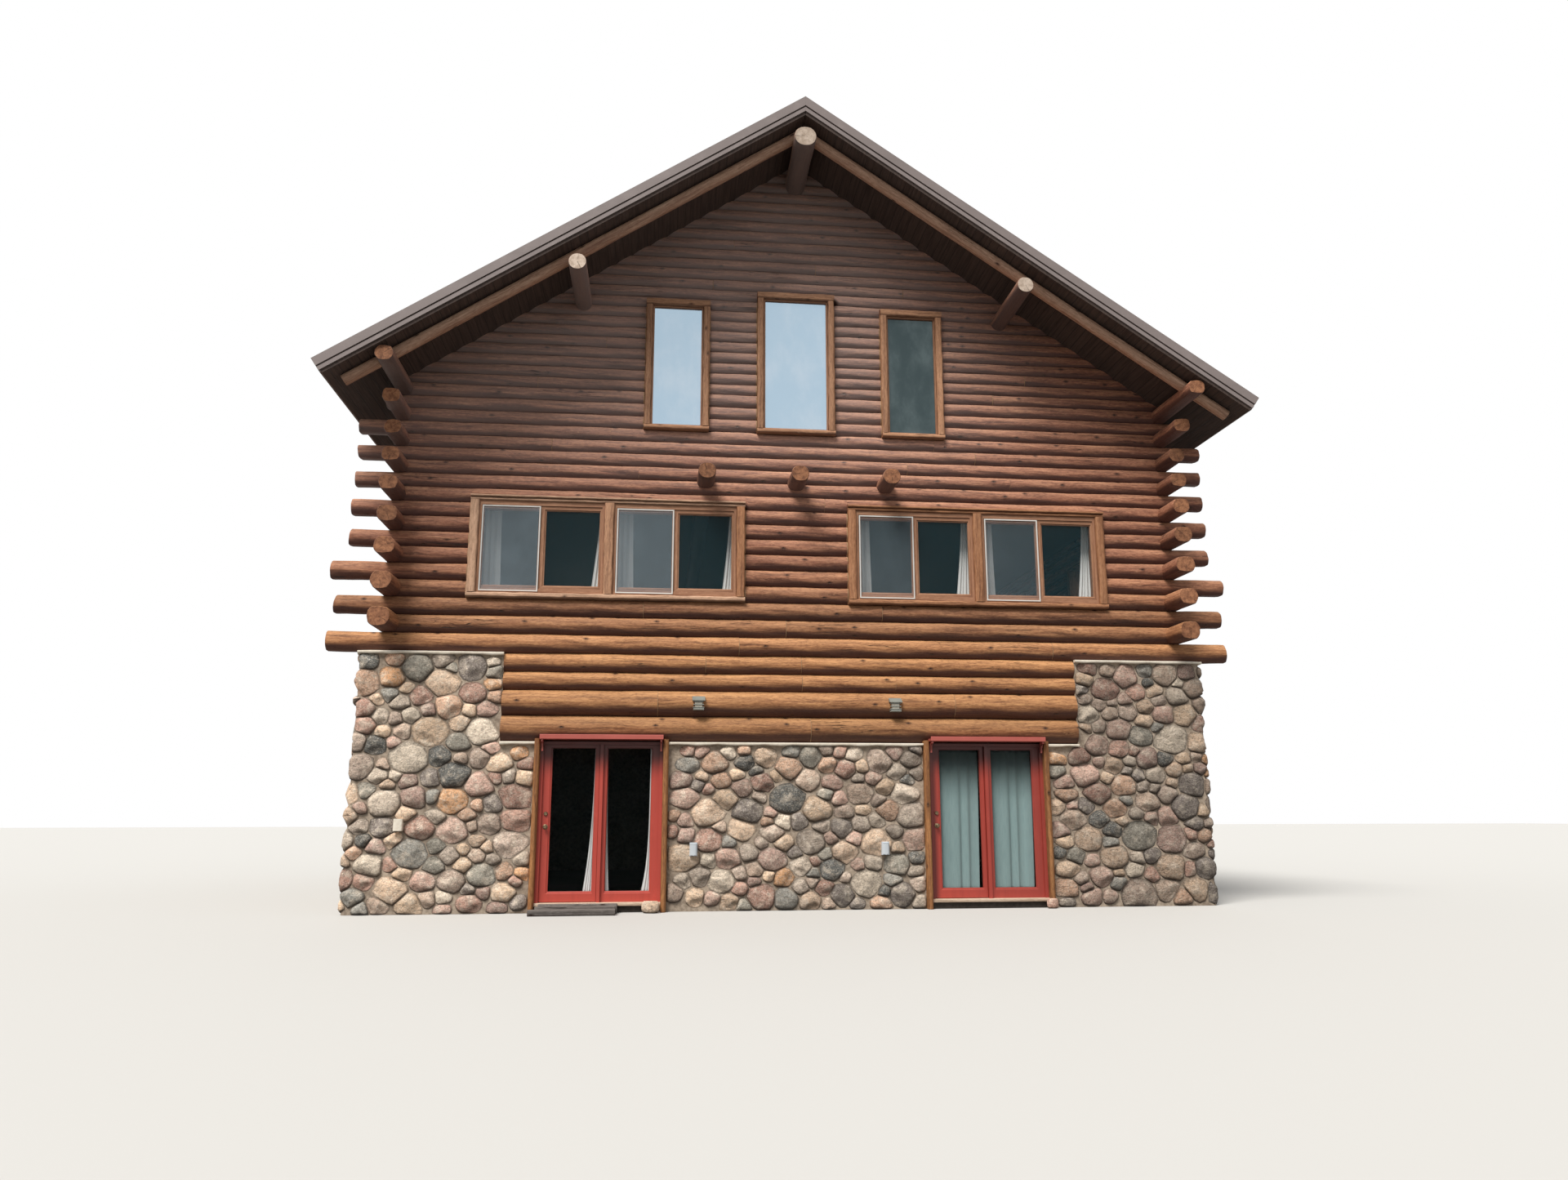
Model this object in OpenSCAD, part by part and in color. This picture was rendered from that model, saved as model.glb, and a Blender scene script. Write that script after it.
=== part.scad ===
// Alpine log chalet: fieldstone basement, round-log walls with butt-and-pass corners,
// log-carried gable roof. Millimetres, Z up, front towards -Y, origin on the ground at
// the middle of the plan.

/* [Plan] */
// Distance between the centre lines of the two side walls
house_w = 10840; // [9000:4:13100]
// Distance between the centre lines of the front and back walls
house_d = 9200; // [7600:20:12000]

/* [Logs] */
// Height of the lowest full-width log course
course_h0 = 250; // [220:5:310]
// How much each course is lower than the one below it
course_step = 5.5; // [3:0.5:6]
// Height of the thinner courses near the eaves
course_h_min = 185; // [170:5:200]
// Height of the gable courses
gable_h = 161; // [140:1:200]
// How much a log is thicker than its course is high
log_bulge = 60; // [40:5:80]
// Length of the front and back log tails past the side logs
front_tail = 475; // [200:5:600]
// Length of the side log ends past the front and back logs
side_tail = 500; // [200:5:700]
// Clearance where one log is scribed round another
fit = 0.3; // [0.2:0.1:0.8]

/* [Basement] */
// Height of the stonework between the corner piers
stone_mid_h = 2160; // [2100:4:2600]
// Width of each corner pier on the front
pier_w = 1920; // [1500:10:2000]
// Distance that the stone side walls stand out from the side wall centre lines
stone_out = 400; // [300:10:500]
// Thickness of the stone side walls
stone_side_t = 550; // [450:10:650]
// Thickness of the stone front and back walls
stone_front_t = 400; // [350:10:500]
// Thickness of the basement slab
slab_t = 80; // [60:5:120]

/* [Doors] */
// Distance of each door's middle from the middle of the front
door_x = 2580; // [2300:10:2800]
// Width over the log jambs of a door
door_w = 1740; // [1440:2:2100]
// Width of a log jamb
jamb_w = 75; // [60:5:90]
// Height of the sill's top over the ground
sill_z = 125; // [100:5:160]
// Thickness of a door leaf
leaf_t = 45; // [35:1:60]
// Gap round a moving door leaf
leaf_gap = 6; // [5:0.5:8]
// Width of the mullion between two leaves
mullion_w = 45; // [40:1:60]
// Diameter of a hinge pin
pin_d = 8; // [6:0.5:9]

/* [Windows] */
// Distance of each main window pair's middle from the middle of the front
main_window_x = 2580; // [2450:10:2700]
// Width of one sliding window unit
unit_w = 1675; // [1390:1:1700]
// Height of one sliding window unit
unit_h = 1270; // [1100:5:1300]
// Height of the main windows' sills over the ground
main_window_z = 4130; // [4000:5:4300]
// Distance of the outer attic windows from the middle
attic_window_x = 1695; // [1500:5:1800]
// Glass height of the two outer attic windows
attic_h = 1750; // [1500:10:1800]
// Glass height of the middle attic window
attic_mid_h = 1930; // [1600:10:2000]
// Height of the attic glass over the ground
attic_z = 6590; // [6500:10:6700]

/* [Roof] */
// Rise of the roof over a run of one
roof_slope = 0.6667; // [0.6:0.0001:0.7]
// Overhang of the roof beyond the front and back logs
gable_out = 1200; // [900:10:1400]
// Distance of the roof edges beyond the side wall centre lines
eave_out = 860; // [600:10:1100]
// Thickness of the insulated roof deck
deck_t = 185; // [120:5:240]
// Distance between the raised ribs of the metal roofing
rib_pitch = 406; // [300:2:500]
// Diameter of the ridge log
ridge_d = 310; // [250:5:360]
// Diameter of the two purlin logs
purlin_d = 240; // [200:5:280]
// Diameter of the slanting rafter logs at the gable edges
rafter_d = 155; // [120:5:240]
// Distance of the purlins from the ridge
purlin_x = 3040; // [2700:10:3300]

/* [Hidden] */
$fn = 48;

side_x = house_w / 2;
front_y = house_d / 2;
big = 40000;

// Heights of the four infill logs over the doors, from the lowest
infill_h = [340, 340, 240, 250];
infill_bulge = 40;
infill_n = len(infill_h);
wall_n = 18;
// How much longer the tails of the lowest courses are
tail_extra = [140, 0, 85, 0, 165];
plate_index = wall_n - 1;
below_plate_index = plate_index - 2;
below_plate_tail = 700;
top_tail = 150;

function course_h(i) =
    i < 0 ? infill_h[i + infill_n]
    : i >= wall_n ? gable_h
    : max(course_h0 - course_step * i, course_h_min);
function course_z(i) =
    i == -infill_n ? stone_mid_h : course_z(i - 1) + course_h(i - 1);
function course_mid(i) = course_z(i) + course_h(i) / 2;
function course_d(i) = course_h(i) + (i < 0 ? infill_bulge : log_bulge);
function tail_x(i) =
    i == plate_index - 1 ? top_tail : front_tail + (i < len(tail_extra) ? tail_extra[i] : 0);
function tail_y(i) =
    i == plate_index ? gable_out - end_back
    : i == below_plate_index ? below_plate_tail
    : side_tail;

end_back = 20;
log_face = course_d(0) / 2;
log_base = course_z(0);
plate_top = course_z(wall_n);
plate_flat = sqrt(pow(course_d(plate_index), 2) - pow(course_h(plate_index), 2)) / 2;
face_y = front_y + log_face;
stone_proud = 30;
stone_y = face_y + stone_proud;
stone_x = side_x + stone_out;
stone_inner_x = stone_x - stone_side_t;
stone_inner_y = stone_y - stone_front_t;
pier_x = stone_x - pier_w;

// The underside of the roof passes over the top edges of the plate logs
under_apex = plate_top + roof_slope * (side_x + plate_flat) + fit;
pitch = atan(roof_slope);
pan_t = 10;
rib_h = 30;
rib_w = 14;
cap_t = 6;
roof_t = deck_t + pan_t + rib_h;
trim_t = 20;
roof_end_y = face_y + gable_out - trim_t;
eave_len = (side_x + eave_out - (roof_t + cap_t) * sin(pitch)) / cos(pitch) - trim_t;
ridge_gap = 2;
ridge_z = under_apex - 326;
purlin_z = under_apex - roof_slope * purlin_x - 359;
rafter_in = 320;
rafter_y = face_y + gable_out - rafter_in;
gable_n = ceil((under_apex - plate_top) / gable_h);

beam_d = 250;
beam_h = 225;
beam_pitch = 1270;
beam_z = 5780;
beam_tail = 450;

// A point on the right slope: u down the slope from the apex, w out of the slope
function on_slope(u, w) =
    [u * cos(pitch) + w * sin(pitch), under_apex - u * sin(pitch) + w * cos(pitch)];
// Distance down the slope of the upright line at x, for a point w out of the slope
function slope_u(x, w) = (x - w * sin(pitch)) / cos(pitch);

// A band of the right slope between two heights, cut upright at x0 and square at u1
module slope_band(w0, w1, x0, u1) {
    polygon([
        on_slope(slope_u(x0, w0), w0), on_slope(u1, w0),
        on_slope(u1, w1), on_slope(slope_u(x0, w1), w1)
    ]);
}

// Stands an XZ outline up and carries it along Y
module along_y(y0, y1) {
    translate([0, y1, 0]) rotate([90, 0, 0]) linear_extrude(y1 - y0) children();
}

module both_sides() {
    children();
    mirror([1, 0, 0]) children();
}

module both_ends() {
    children();
    mirror([0, 1, 0]) children();
}

module box(a, b) {
    translate(a) cube([b[0] - a[0], b[1] - a[1], b[2] - a[2]]);
}

// The section of a log with its flats
module log_section(d, h) {
    intersection() {
        circle(d = d);
        square([d + 2, h], center = true);
    }
}

module log_x(x0, x1, y, z, d, h) {
    translate([x0, y, z]) rotate([90, 0, 90]) linear_extrude(x1 - x0) log_section(d, h);
}

module log_y(x, y0, y1, z, d, h) {
    translate([x, y1, z]) rotate([90, 0, 0]) linear_extrude(y1 - y0) log_section(d, h);
}

// Round bar along Y, used for whole logs and for the scribed holes round them
module bar_y(x, z, d) {
    translate([x, big / 2, z]) rotate([90, 0, 0]) cylinder(d = d, h = big);
}

// Everything below the roof deck, less the clearance that the logs keep under it
module under_roof() {
    top = under_apex - fit / cos(pitch);
    half = top / roof_slope;
    along_y(-big / 2, big / 2) polygon([[-half, 0], [half, 0], [0, top]]);
}

module ridge_shape(grow) bar_y(0, ridge_z, ridge_d + 2 * grow);

module purlin_shape(grow) {
    both_sides() bar_y(purlin_x, purlin_z, purlin_d + 2 * grow);
}

module beam_section(grow) {
    intersection() {
        circle(d = beam_d + 2 * grow);
        square([beam_d + 2, beam_h + 2 * grow], center = true);
    }
}

module beam_holes() {
    for (k = [-1:1])
        translate([k * beam_pitch, big / 2, beam_z]) rotate([90, 0, 0])
            linear_extrude(big) beam_section(fit);
}

// Windows: each is [middle x, width, bottom z, height] over its log casing
casing_side = 120;
casing_mid = 130;
casing_top = 80;
casing_bottom = 70;
pair_w = 2 * unit_w + 2 * casing_side + casing_mid;
pair_h = unit_h + casing_top + casing_bottom;
pair_z = main_window_z - casing_bottom;
single_w = unit_w + 2 * casing_side;
attic_side = 120;
attic_top = 130;
attic_bottom = 90;
attic_glass_w = 670;
attic_mid_glass_w = 880;
side_window_y = 2100;

front_windows = [
    [-main_window_x, pair_w, pair_z, pair_h],
    [main_window_x, pair_w, pair_z, pair_h],
    [-attic_window_x, attic_glass_w + 2 * attic_side, attic_z - attic_bottom,
        attic_h + attic_top + attic_bottom],
    [0, attic_mid_glass_w + 2 * attic_side, attic_z - attic_bottom,
        attic_mid_h + attic_top + attic_bottom],
    [attic_window_x, attic_glass_w + 2 * attic_side, attic_z - attic_bottom,
        attic_h + attic_top + attic_bottom]
];
main_count = 2;

module window_hole(w, reach) {
    box([w[0] - w[1] / 2, -reach, w[2]], [w[0] + w[1] / 2, reach, w[2] + w[3]]);
}

// Log walls
module end_wall_log(i) {
    passing = i % 2 == 0;
    gable = i >= wall_n;
    d = course_d(i);
    half = i < 0 ? pier_x : gable ? (under_apex - course_z(i)) / roof_slope + d
        : passing ? side_x + d / 2 + tail_x(i) : side_x;
    difference() {
        log_x(-half, half, 0, course_mid(i), d, course_h(i));
        if (!passing && !gable && i > 0)
            both_sides() bar_y(side_x, course_mid(i), d + 2 * fit);
    }
}

module end_wall(parity, lowest) {
    difference() {
        intersection() {
            union() {
                for (i = [lowest:wall_n + gable_n - 1])
                    if (abs(i) % 2 == parity) end_wall_log(i);
            }
            under_roof();
        }
        for (w = front_windows) window_hole(w, 1000);
        beam_holes();
        ridge_shape(fit);
        purlin_shape(fit);
    }
}

module side_wall_log(i) {
    passing = i % 2 == 1;
    d = course_d(i);
    half = passing ? front_y + d / 2 + tail_y(i) : front_y;
    difference() {
        log_y(0, -half, half, course_mid(i), d, course_h(i));
        if (!passing)
            both_ends() translate([-big / 2, front_y, course_mid(i)]) rotate([0, 90, 0])
                cylinder(d = d + 2 * fit, h = big);
    }
}

module side_wall(parity) {
    difference() {
        for (i = [0:wall_n - 1]) if (i % 2 == parity) side_wall_log(i);
        both_ends() box([-1000, side_window_y - single_w / 2, pair_z],
            [1000, side_window_y + single_w / 2, pair_z + pair_h]);
    }
}

module front_logs_even() color([0.56, 0.32, 0.2]) translate([0, -front_y, 0])
    end_wall(0, -infill_n);
module front_logs_odd() color([0.6, 0.34, 0.21]) translate([0, -front_y, 0])
    end_wall(1, -infill_n);
module back_logs_even() color([0.56, 0.32, 0.2]) translate([0, front_y, 0]) end_wall(0, 0);
module back_logs_odd() color([0.6, 0.34, 0.21]) translate([0, front_y, 0]) end_wall(1, 0);
module side_logs_even() color([0.56, 0.32, 0.2]) both_sides() translate([side_x, 0, 0])
    side_wall(0);
module side_logs_odd() color([0.6, 0.34, 0.21]) both_sides() translate([side_x, 0, 0])
    side_wall(1);

module loft_beams() color([0.55, 0.33, 0.2]) {
    for (k = [-1:1])
        translate([k * beam_pitch, face_y + beam_tail, beam_z]) rotate([90, 0, 0])
            linear_extrude(2 * (face_y + beam_tail)) beam_section(0);
}

// Stonework
module stone_front_left() color([0.62, 0.58, 0.53]) {
    box([-stone_x, -stone_y, 0], [-pier_x, -stone_inner_y, log_base]);
    box([-pier_x, -stone_y, 0], [-door_x - door_w / 2, -stone_inner_y, stone_mid_h]);
}

module stone_front_right() color([0.62, 0.58, 0.53]) mirror([1, 0, 0]) stone_front_left();

module stone_front_middle() color([0.62, 0.58, 0.53]) {
    half = door_x - door_w / 2;
    box([-half, -stone_y, 0], [half, -stone_inner_y, stone_mid_h]);
}

module stone_right_wall() color([0.6, 0.56, 0.52])
    box([stone_inner_x, -stone_inner_y, 0], [stone_x, stone_inner_y, log_base]);

module stone_left_wall() color([0.6, 0.56, 0.52]) mirror([1, 0, 0]) stone_right_wall();

module stone_back_wall() color([0.6, 0.56, 0.52])
    box([-stone_x, stone_inner_y, 0], [stone_x, stone_y, log_base]);

// Floors
main_floor_t = 200;
loft_floor_t = 120;

module basement_slab() color([0.6, 0.6, 0.58])
    box([-stone_inner_x, -stone_inner_y, 0], [stone_inner_x, stone_inner_y, slab_t]);

module main_floor() color([0.6, 0.45, 0.3])
    box([-stone_inner_x, -stone_inner_y, log_base - main_floor_t],
        [stone_inner_x, stone_inner_y, log_base]);

// The thickest log between two heights sets how near a floor comes to the walls
function thickest(z0, z1) = max([
    for (i = [0:wall_n - 1]) if (course_z(i) < z1 && course_z(i + 1) > z0) course_d(i)
]);

module loft_floor() color([0.6, 0.45, 0.3]) {
    z = beam_z + beam_h / 2;
    inner = thickest(z, z + loft_floor_t) / 2 + fit;
    box([-side_x + inner, -front_y + inner, z], [side_x - inner, front_y - inner, z + loft_floor_t]);
}

// Roof
module ridge_log() color([0.6, 0.4, 0.26])
    translate([0, roof_end_y, ridge_z]) rotate([90, 0, 0]) cylinder(d = ridge_d, h = 2 * roof_end_y);

module purlin_logs() color([0.6, 0.4, 0.26]) both_sides()
    translate([purlin_x, roof_end_y, purlin_z]) rotate([90, 0, 0])
        cylinder(d = purlin_d, h = 2 * roof_end_y);

module plate_shape(grow) {
    both_sides() log_y(side_x, -big / 2, big / 2, course_mid(plate_index),
        course_d(plate_index) + 2 * grow, course_h(plate_index) + 2 * grow);
}

module fly_rafters() color([0.5, 0.34, 0.24]) {
    drop = rafter_d / 2 + fit;
    end_u = eave_len - 160;
    start_u = slope_u(0, -drop) - 200;
    difference() {
        both_ends() both_sides() intersection() {
            translate([0, rafter_y, under_apex]) rotate([0, pitch, 0])
                translate([start_u, 0, -drop]) rotate([0, 90, 0])
                    cylinder(d = rafter_d, h = end_u - start_u);
            translate([ridge_gap, 0, 0]) cube([big, big, big]);
        }
        ridge_shape(fit);
        purlin_shape(fit);
        plate_shape(fit);
    }
}

module roof_deck() color([0.2, 0.15, 0.12]) both_sides()
    along_y(-roof_end_y, roof_end_y) slope_band(0, deck_t, ridge_gap, eave_len);

rib_n = floor((2 * roof_end_y - 100) / rib_pitch);

module metal_roofing() color([0.45, 0.42, 0.4]) both_sides() {
    cap_hide = 60;
    along_y(-roof_end_y, roof_end_y)
        slope_band(deck_t, deck_t + pan_t, ridge_gap, eave_len);
    for (k = [0:rib_n]) {
        y = (k - rib_n / 2) * rib_pitch;
        along_y(y - rib_w / 2, y + rib_w / 2)
            slope_band(deck_t + pan_t / 2, roof_t, cap_hide, eave_len);
    }
}

module ridge_cap() color([0.48, 0.45, 0.43]) {
    cap_w = 190;
    along_y(-roof_end_y, roof_end_y) union() {
        both_sides() slope_band(roof_t, roof_t + cap_t, 0, cap_w);
    }
}

// The rake trim is a deep upper band, an open joint, and a stepped lower strip set back from it
rake_top = roof_t + cap_t;
rake_step = 116;
rake_joint = 16;
rake_bead = 80;
rake_low = 45;
rake_back = 10;
bead_back = 3;

module rake_trim() color([0.52, 0.49, 0.47]) both_ends() {
    end_y = roof_end_y + trim_t;
    reach = eave_len + trim_t;
    both_sides() {
        along_y(roof_end_y, end_y) slope_band(rake_step, rake_top, fit / 2, reach);
        along_y(roof_end_y, end_y - rake_back)
            slope_band(rake_low, rake_step - rake_joint, fit / 2, reach);
        along_y(roof_end_y, end_y - bead_back) slope_band(rake_low, rake_bead, fit / 2, reach);
    }
}

module eave_trim() color([0.42, 0.39, 0.37]) both_sides()
    along_y(fit - roof_end_y, roof_end_y - fit) polygon([
        on_slope(eave_len + fit, rake_low / 2), on_slope(eave_len + trim_t, rake_low / 2),
        on_slope(eave_len + trim_t, roof_t), on_slope(eave_len + fit, roof_t)
    ]);

// Windows: a log casing closes the hole, and holds one or two sliding units
casing_proud = 35;
casing_in = 5;
casing_out_y = log_face + casing_proud;
casing_in_y = log_face + casing_in;
frame_y = 140;
frame_t = 80;
unit_edge = 65;
screen_w = 775;
screen_edge = 40;
screen_low = 20;
screen_high = 65;
screen_t = 12;
screen_bar = 22;
light_low = 110;
light_top = 120;
glass_t = 20;
glass_y = 110;
meet_x0 = screen_edge + screen_w;
meet_w = 75;

// Left corner x of each unit, in a window with the given number of units
function unit_x(n) = n == 2
    ? [-casing_mid / 2 - unit_w, casing_mid / 2]
    : [-unit_w / 2];

// A head and a sill right across, with upright pieces fitted between them
module casing_boards(w, z0, z1, low, top, side) {
    box([-w / 2, -casing_out_y, z0], [w / 2, casing_in_y, z0 + low]);
    box([-w / 2, -casing_out_y, z1 - top], [w / 2, casing_in_y, z1]);
    for (s = [-1, 1]) {
        x = s * (w - side) / 2;
        box([x - side / 2, -casing_out_y, z0 + low + fit],
            [x + side / 2, casing_in_y, z1 - top - fit]);
    }
}

module casing(w, units) {
    z1 = pair_z + pair_h;
    casing_boards(w, pair_z, z1, casing_bottom, casing_top, casing_side);
    if (units == 2)
        box([-casing_mid / 2, -casing_out_y, main_window_z + fit],
            [casing_mid / 2, casing_in_y, main_window_z + unit_h - fit]);
}

module unit_lights(x, y0, y1) {
    z = main_window_z;
    box([x + unit_edge, y0, z + light_low], [x + meet_x0 - 10, y1, z + unit_h - light_top]);
    box([x + meet_x0 + meet_w, y0, z + light_low],
        [x + unit_w - unit_edge, y1, z + unit_h - light_top]);
}

module unit_frame(x) difference() {
    box([x, -frame_y, main_window_z], [x + unit_w, -frame_y + frame_t, main_window_z + unit_h]);
    unit_lights(x, -big / 2, big / 2);
}

module screen(x) {
    z0 = main_window_z + screen_low;
    z1 = main_window_z + unit_h - screen_high;
    x0 = x + screen_edge;
    difference() {
        box([x0, -frame_y - screen_t, z0], [x0 + screen_w, -frame_y, z1]);
        box([x0 + screen_bar, -frame_y - screen_t - 1, z0 + screen_bar],
            [x0 + screen_w - screen_bar, -frame_y - 3, z1 - screen_bar]);
    }
}

attic_frame = 25;
attic_list = [for (k = [main_count:len(front_windows) - 1]) front_windows[k]];

module attic_hole(w, inset, y0, y1) {
    side = attic_side - inset;
    box([w[0] - w[1] / 2 + side, y0, w[2] + attic_bottom - inset],
        [w[0] + w[1] / 2 - side, y1, w[2] + w[3] - attic_top + inset]);
}

module attic_casing(w) translate([w[0], 0, 0])
    casing_boards(w[1], w[2], w[2] + w[3], attic_bottom - attic_frame, attic_top - attic_frame,
        attic_side - attic_frame);

module attic_frame_ring(w) difference() {
    attic_hole(w, attic_frame, -frame_y, -frame_y + frame_t);
    attic_hole(w, 0, -big / 2, big / 2);
}

// Carries one window pattern to the front and back walls
module on_end_walls() both_ends() translate([0, -front_y, 0]) children();

// Carries one single window to its four places in the side walls
module on_side_walls() for (s = [-1, 1]) for (t = [-1, 1])
    translate([s * side_x, t * side_window_y, 0]) rotate([0, 0, s * 90]) children();

module window_casings() color([0.62, 0.43, 0.3]) {
    on_end_walls() {
        for (s = [-1, 1]) translate([s * main_window_x, 0, 0]) casing(pair_w, 2);
        for (w = attic_list) attic_casing(w);
    }
    on_side_walls() casing(single_w, 1);
}

module window_frames() color([0.5, 0.37, 0.28]) {
    on_end_walls() {
        for (s = [-1, 1]) translate([s * main_window_x, 0, 0])
            for (x = unit_x(2)) unit_frame(x);
        for (w = attic_list) attic_frame_ring(w);
    }
    on_side_walls() for (x = unit_x(1)) unit_frame(x);
}

module window_screens() color([0.35, 0.36, 0.37]) {
    on_end_walls() for (s = [-1, 1]) translate([s * main_window_x, 0, 0])
        for (x = unit_x(2)) screen(x);
    on_side_walls() for (x = unit_x(1)) screen(x);
}

// Doors: a pair of glazed leaves, the left one hinged at the mullion and swinging in
stone_front = -stone_y;
frame_side = 32;
frame_head = 25;
frame_front = stone_front + 50;
leaf_front = stone_front + 85;
leaf_back = leaf_front + leaf_t;
frame_back = leaf_back;
head_z = stone_mid_h - frame_head;
bay_w = (door_w - 2 * jamb_w - 2 * frame_side - mullion_w) / 2;
free_gap = leaf_gap + 1.5;
hinge_gap = leaf_gap - 1;
stop_w = 12;
stop_t = leaf_front - leaf_gap - frame_front;
free_stile = 118;
hinge_stile = 60;
rail_low = 136;
rail_top = 62;
pane_back = 12;
hinge_r = 7;
hinge_x = -mullion_w / 2 - hinge_gap / 2;
hinge_y = leaf_back + hinge_r;
hinge_h = 100;
hinge_third = hinge_h / 3;
hinge_zs = [sill_z + 220, sill_z + 980, sill_z + 1740];
jamb_out = 6;
jamb_over = 40;
strap_w = 27;
strap_t = 3;
run_fit = 0.05;

module log_jambs(x) color([0.5, 0.33, 0.2]) for (s = [-1, 1]) {
    x0 = x + s * (door_w / 2 - jamb_w / 2);
    box([x0 - jamb_w / 2, stone_front, 0], [x0 + jamb_w / 2, -stone_inner_y, stone_mid_h]);
    translate([x0, stone_front - jamb_out, 0]) difference() {
        cylinder(d = jamb_w, h = stone_mid_h + jamb_over);
        box([-jamb_w, jamb_out, -1], [jamb_w, jamb_w, stone_mid_h + jamb_over + 1]);
    }
}

module door_jamb_logs() for (s = [-1, 1]) log_jambs(s * door_x);

// Posts, mullion and head, with a stop in front of the leaves
module door_frame(x) translate([x, 0, 0]) {
    half = door_w / 2 - jamb_w;
    for (s = [0, 1]) mirror([s, 0, 0]) {
        box([half - frame_side, frame_front, sill_z], [half, frame_back, stone_mid_h]);
        box([half - frame_side - stop_w, frame_front, sill_z],
            [half - frame_side, frame_front + stop_t, head_z - stop_w - fit]);
    }
    box([-mullion_w / 2, frame_front - 10, sill_z],
        [mullion_w / 2, frame_back, head_z - stop_w - fit]);
    box([-half + frame_side + fit, frame_front, head_z - stop_w],
        [half - frame_side - fit, frame_front + stop_t, stone_mid_h]);
    box([-half + frame_side + fit, frame_front, head_z],
        [half - frame_side - fit, frame_back, stone_mid_h]);
}

module door_frames() color([0.7, 0.2, 0.16]) for (s = [-1, 1]) door_frame(s * door_x);

module door_sills() color([0.82, 0.76, 0.66]) for (s = [-1, 1]) translate([s * door_x, 0, 0]) {
    half = door_w / 2 - jamb_w;
    box([-half, stone_front + 60, 0], [half, -stone_inner_y, slab_t]);
    box([-half, stone_front + 10, slab_t], [half, -stone_inner_y, sill_z]);
}

module door_hoods() color([0.72, 0.2, 0.16]) for (s = [-1, 1]) translate([s * door_x, 0, 0]) {
    hood_w = door_w - 2 * jamb_w - 2 * fit;
    hood_out = 150;
    hood_t = 40;
    hood_z = stone_mid_h + 20;
    bracket_t = 25;
    bracket_h = 150;
    bracket_out = 110;
    difference() {
        box([-hood_w / 2, -face_y - hood_out, hood_z], [hood_w / 2, -front_y, hood_z + hood_t]);
        translate([-big / 2, -front_y, course_mid(-infill_n)]) rotate([0, 90, 0])
            cylinder(d = course_d(-infill_n) + 2 * fit, h = big);
    }
    for (t = [-1, 1]) {
        x0 = t * (hood_w / 2 - bracket_t / 2 - 14);
        y0 = -front_y - course_d(-infill_n) / 2 - bracket_out + 20;
        translate([x0 - bracket_t / 2, 0, 0]) difference() {
            box([0, y0, hood_z - bracket_h], [bracket_t, y0 + bracket_out, hood_z]);
            translate([-1, y0, hood_z - bracket_h]) rotate([0, 90, 0])
                cylinder(r = bracket_out - 22, h = bracket_t + 2);
        }
    }
}

module leaf_shape(x0, x1, z0, z1, left_stile, right_stile) difference() {
    box([x0, leaf_front, z0], [x1, leaf_back, z1]);
    box([x0 + left_stile, -big / 2, sill_z + rail_low],
        [x1 - right_stile, big / 2, head_z - rail_top]);
}

module leaf_pane(x0, x1, left_stile, right_stile)
    box([x0 + left_stile, leaf_front + pane_back, sill_z + rail_low],
        [x1 - right_stile, leaf_front + pane_back + glass_t, head_z - rail_top]);

fixed_x0 = mullion_w / 2;
fixed_x1 = mullion_w / 2 + bay_w;
active_x0 = -mullion_w / 2 - bay_w + free_gap;
active_x1 = -mullion_w / 2 - hinge_gap;

module fixed_leaves() color([0.74, 0.22, 0.18]) for (s = [-1, 1]) translate([s * door_x, 0, 0])
    leaf_shape(fixed_x0, fixed_x1, sill_z, head_z, hinge_stile, free_stile);

module active_leaf(x) translate([x, 0, 0])
    leaf_shape(active_x0, active_x1, sill_z + leaf_gap, head_z - leaf_gap, free_stile, hinge_stile);

module active_pane(x) translate([x, 0, 0])
    leaf_pane(active_x0, active_x1, free_stile, hinge_stile);

module hinge_knuckle(z, h, bore) difference() {
    translate([hinge_x, hinge_y, z]) cylinder(r = hinge_r, h = h);
    if (bore > 0) translate([hinge_x, hinge_y, z - 1]) cylinder(d = bore, h = h + 2);
}

module fixed_hinge(z) {
    for (zk = [z, z + 2 * hinge_third]) {
        hinge_knuckle(zk, hinge_third, 0);
        box([hinge_x + 1, leaf_back, zk], [hinge_x + strap_w, leaf_back + strap_t, zk + hinge_third]);
    }
    translate([hinge_x, hinge_y, z]) cylinder(d = pin_d, h = hinge_h);
}

module hinge_pins() color([0.62, 0.5, 0.3]) for (s = [-1, 1]) translate([s * door_x, 0, 0])
    for (z = hinge_zs) fixed_hinge(z);

module moving_hinge(z) {
    z0 = z + hinge_third + 1;
    h = hinge_third - 2;
    difference() {
        union() {
            hinge_knuckle(z0, h, 0);
            box([hinge_x - strap_w, leaf_back, z0], [hinge_x - 1, leaf_back + strap_t, z0 + h]);
        }
        translate([hinge_x, hinge_y, z0 - 1]) cylinder(d = pin_d + 2 * run_fit, h = h + 2);
    }
}

// A door knob turned on an axis that points out of the leaf
module knob() rotate_extrude() polygon([
    [0, 0], [32, 0], [32, 5], [24, 9], [12, 13], [12, 30], [22, 36], [28, 46], [27, 56], [18, 64], [0, 66]
]);

module dead_bolt() rotate_extrude() polygon([[0, 0], [27, 0], [27, 6], [22, 18], [0, 18]]);

module lockset(x) translate([x + active_x0 + 58, 0, 0]) {
    knob_z = 1070;
    bolt_z = 1235;
    translate([0, leaf_front, knob_z]) rotate([90, 0, 0]) knob();
    translate([0, leaf_back, knob_z]) rotate([-90, 0, 0]) knob();
    translate([0, leaf_front, bolt_z]) rotate([90, 0, 0]) dead_bolt();
    translate([0, leaf_back, bolt_z]) rotate([-90, 0, 0]) dead_bolt();
}

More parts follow.
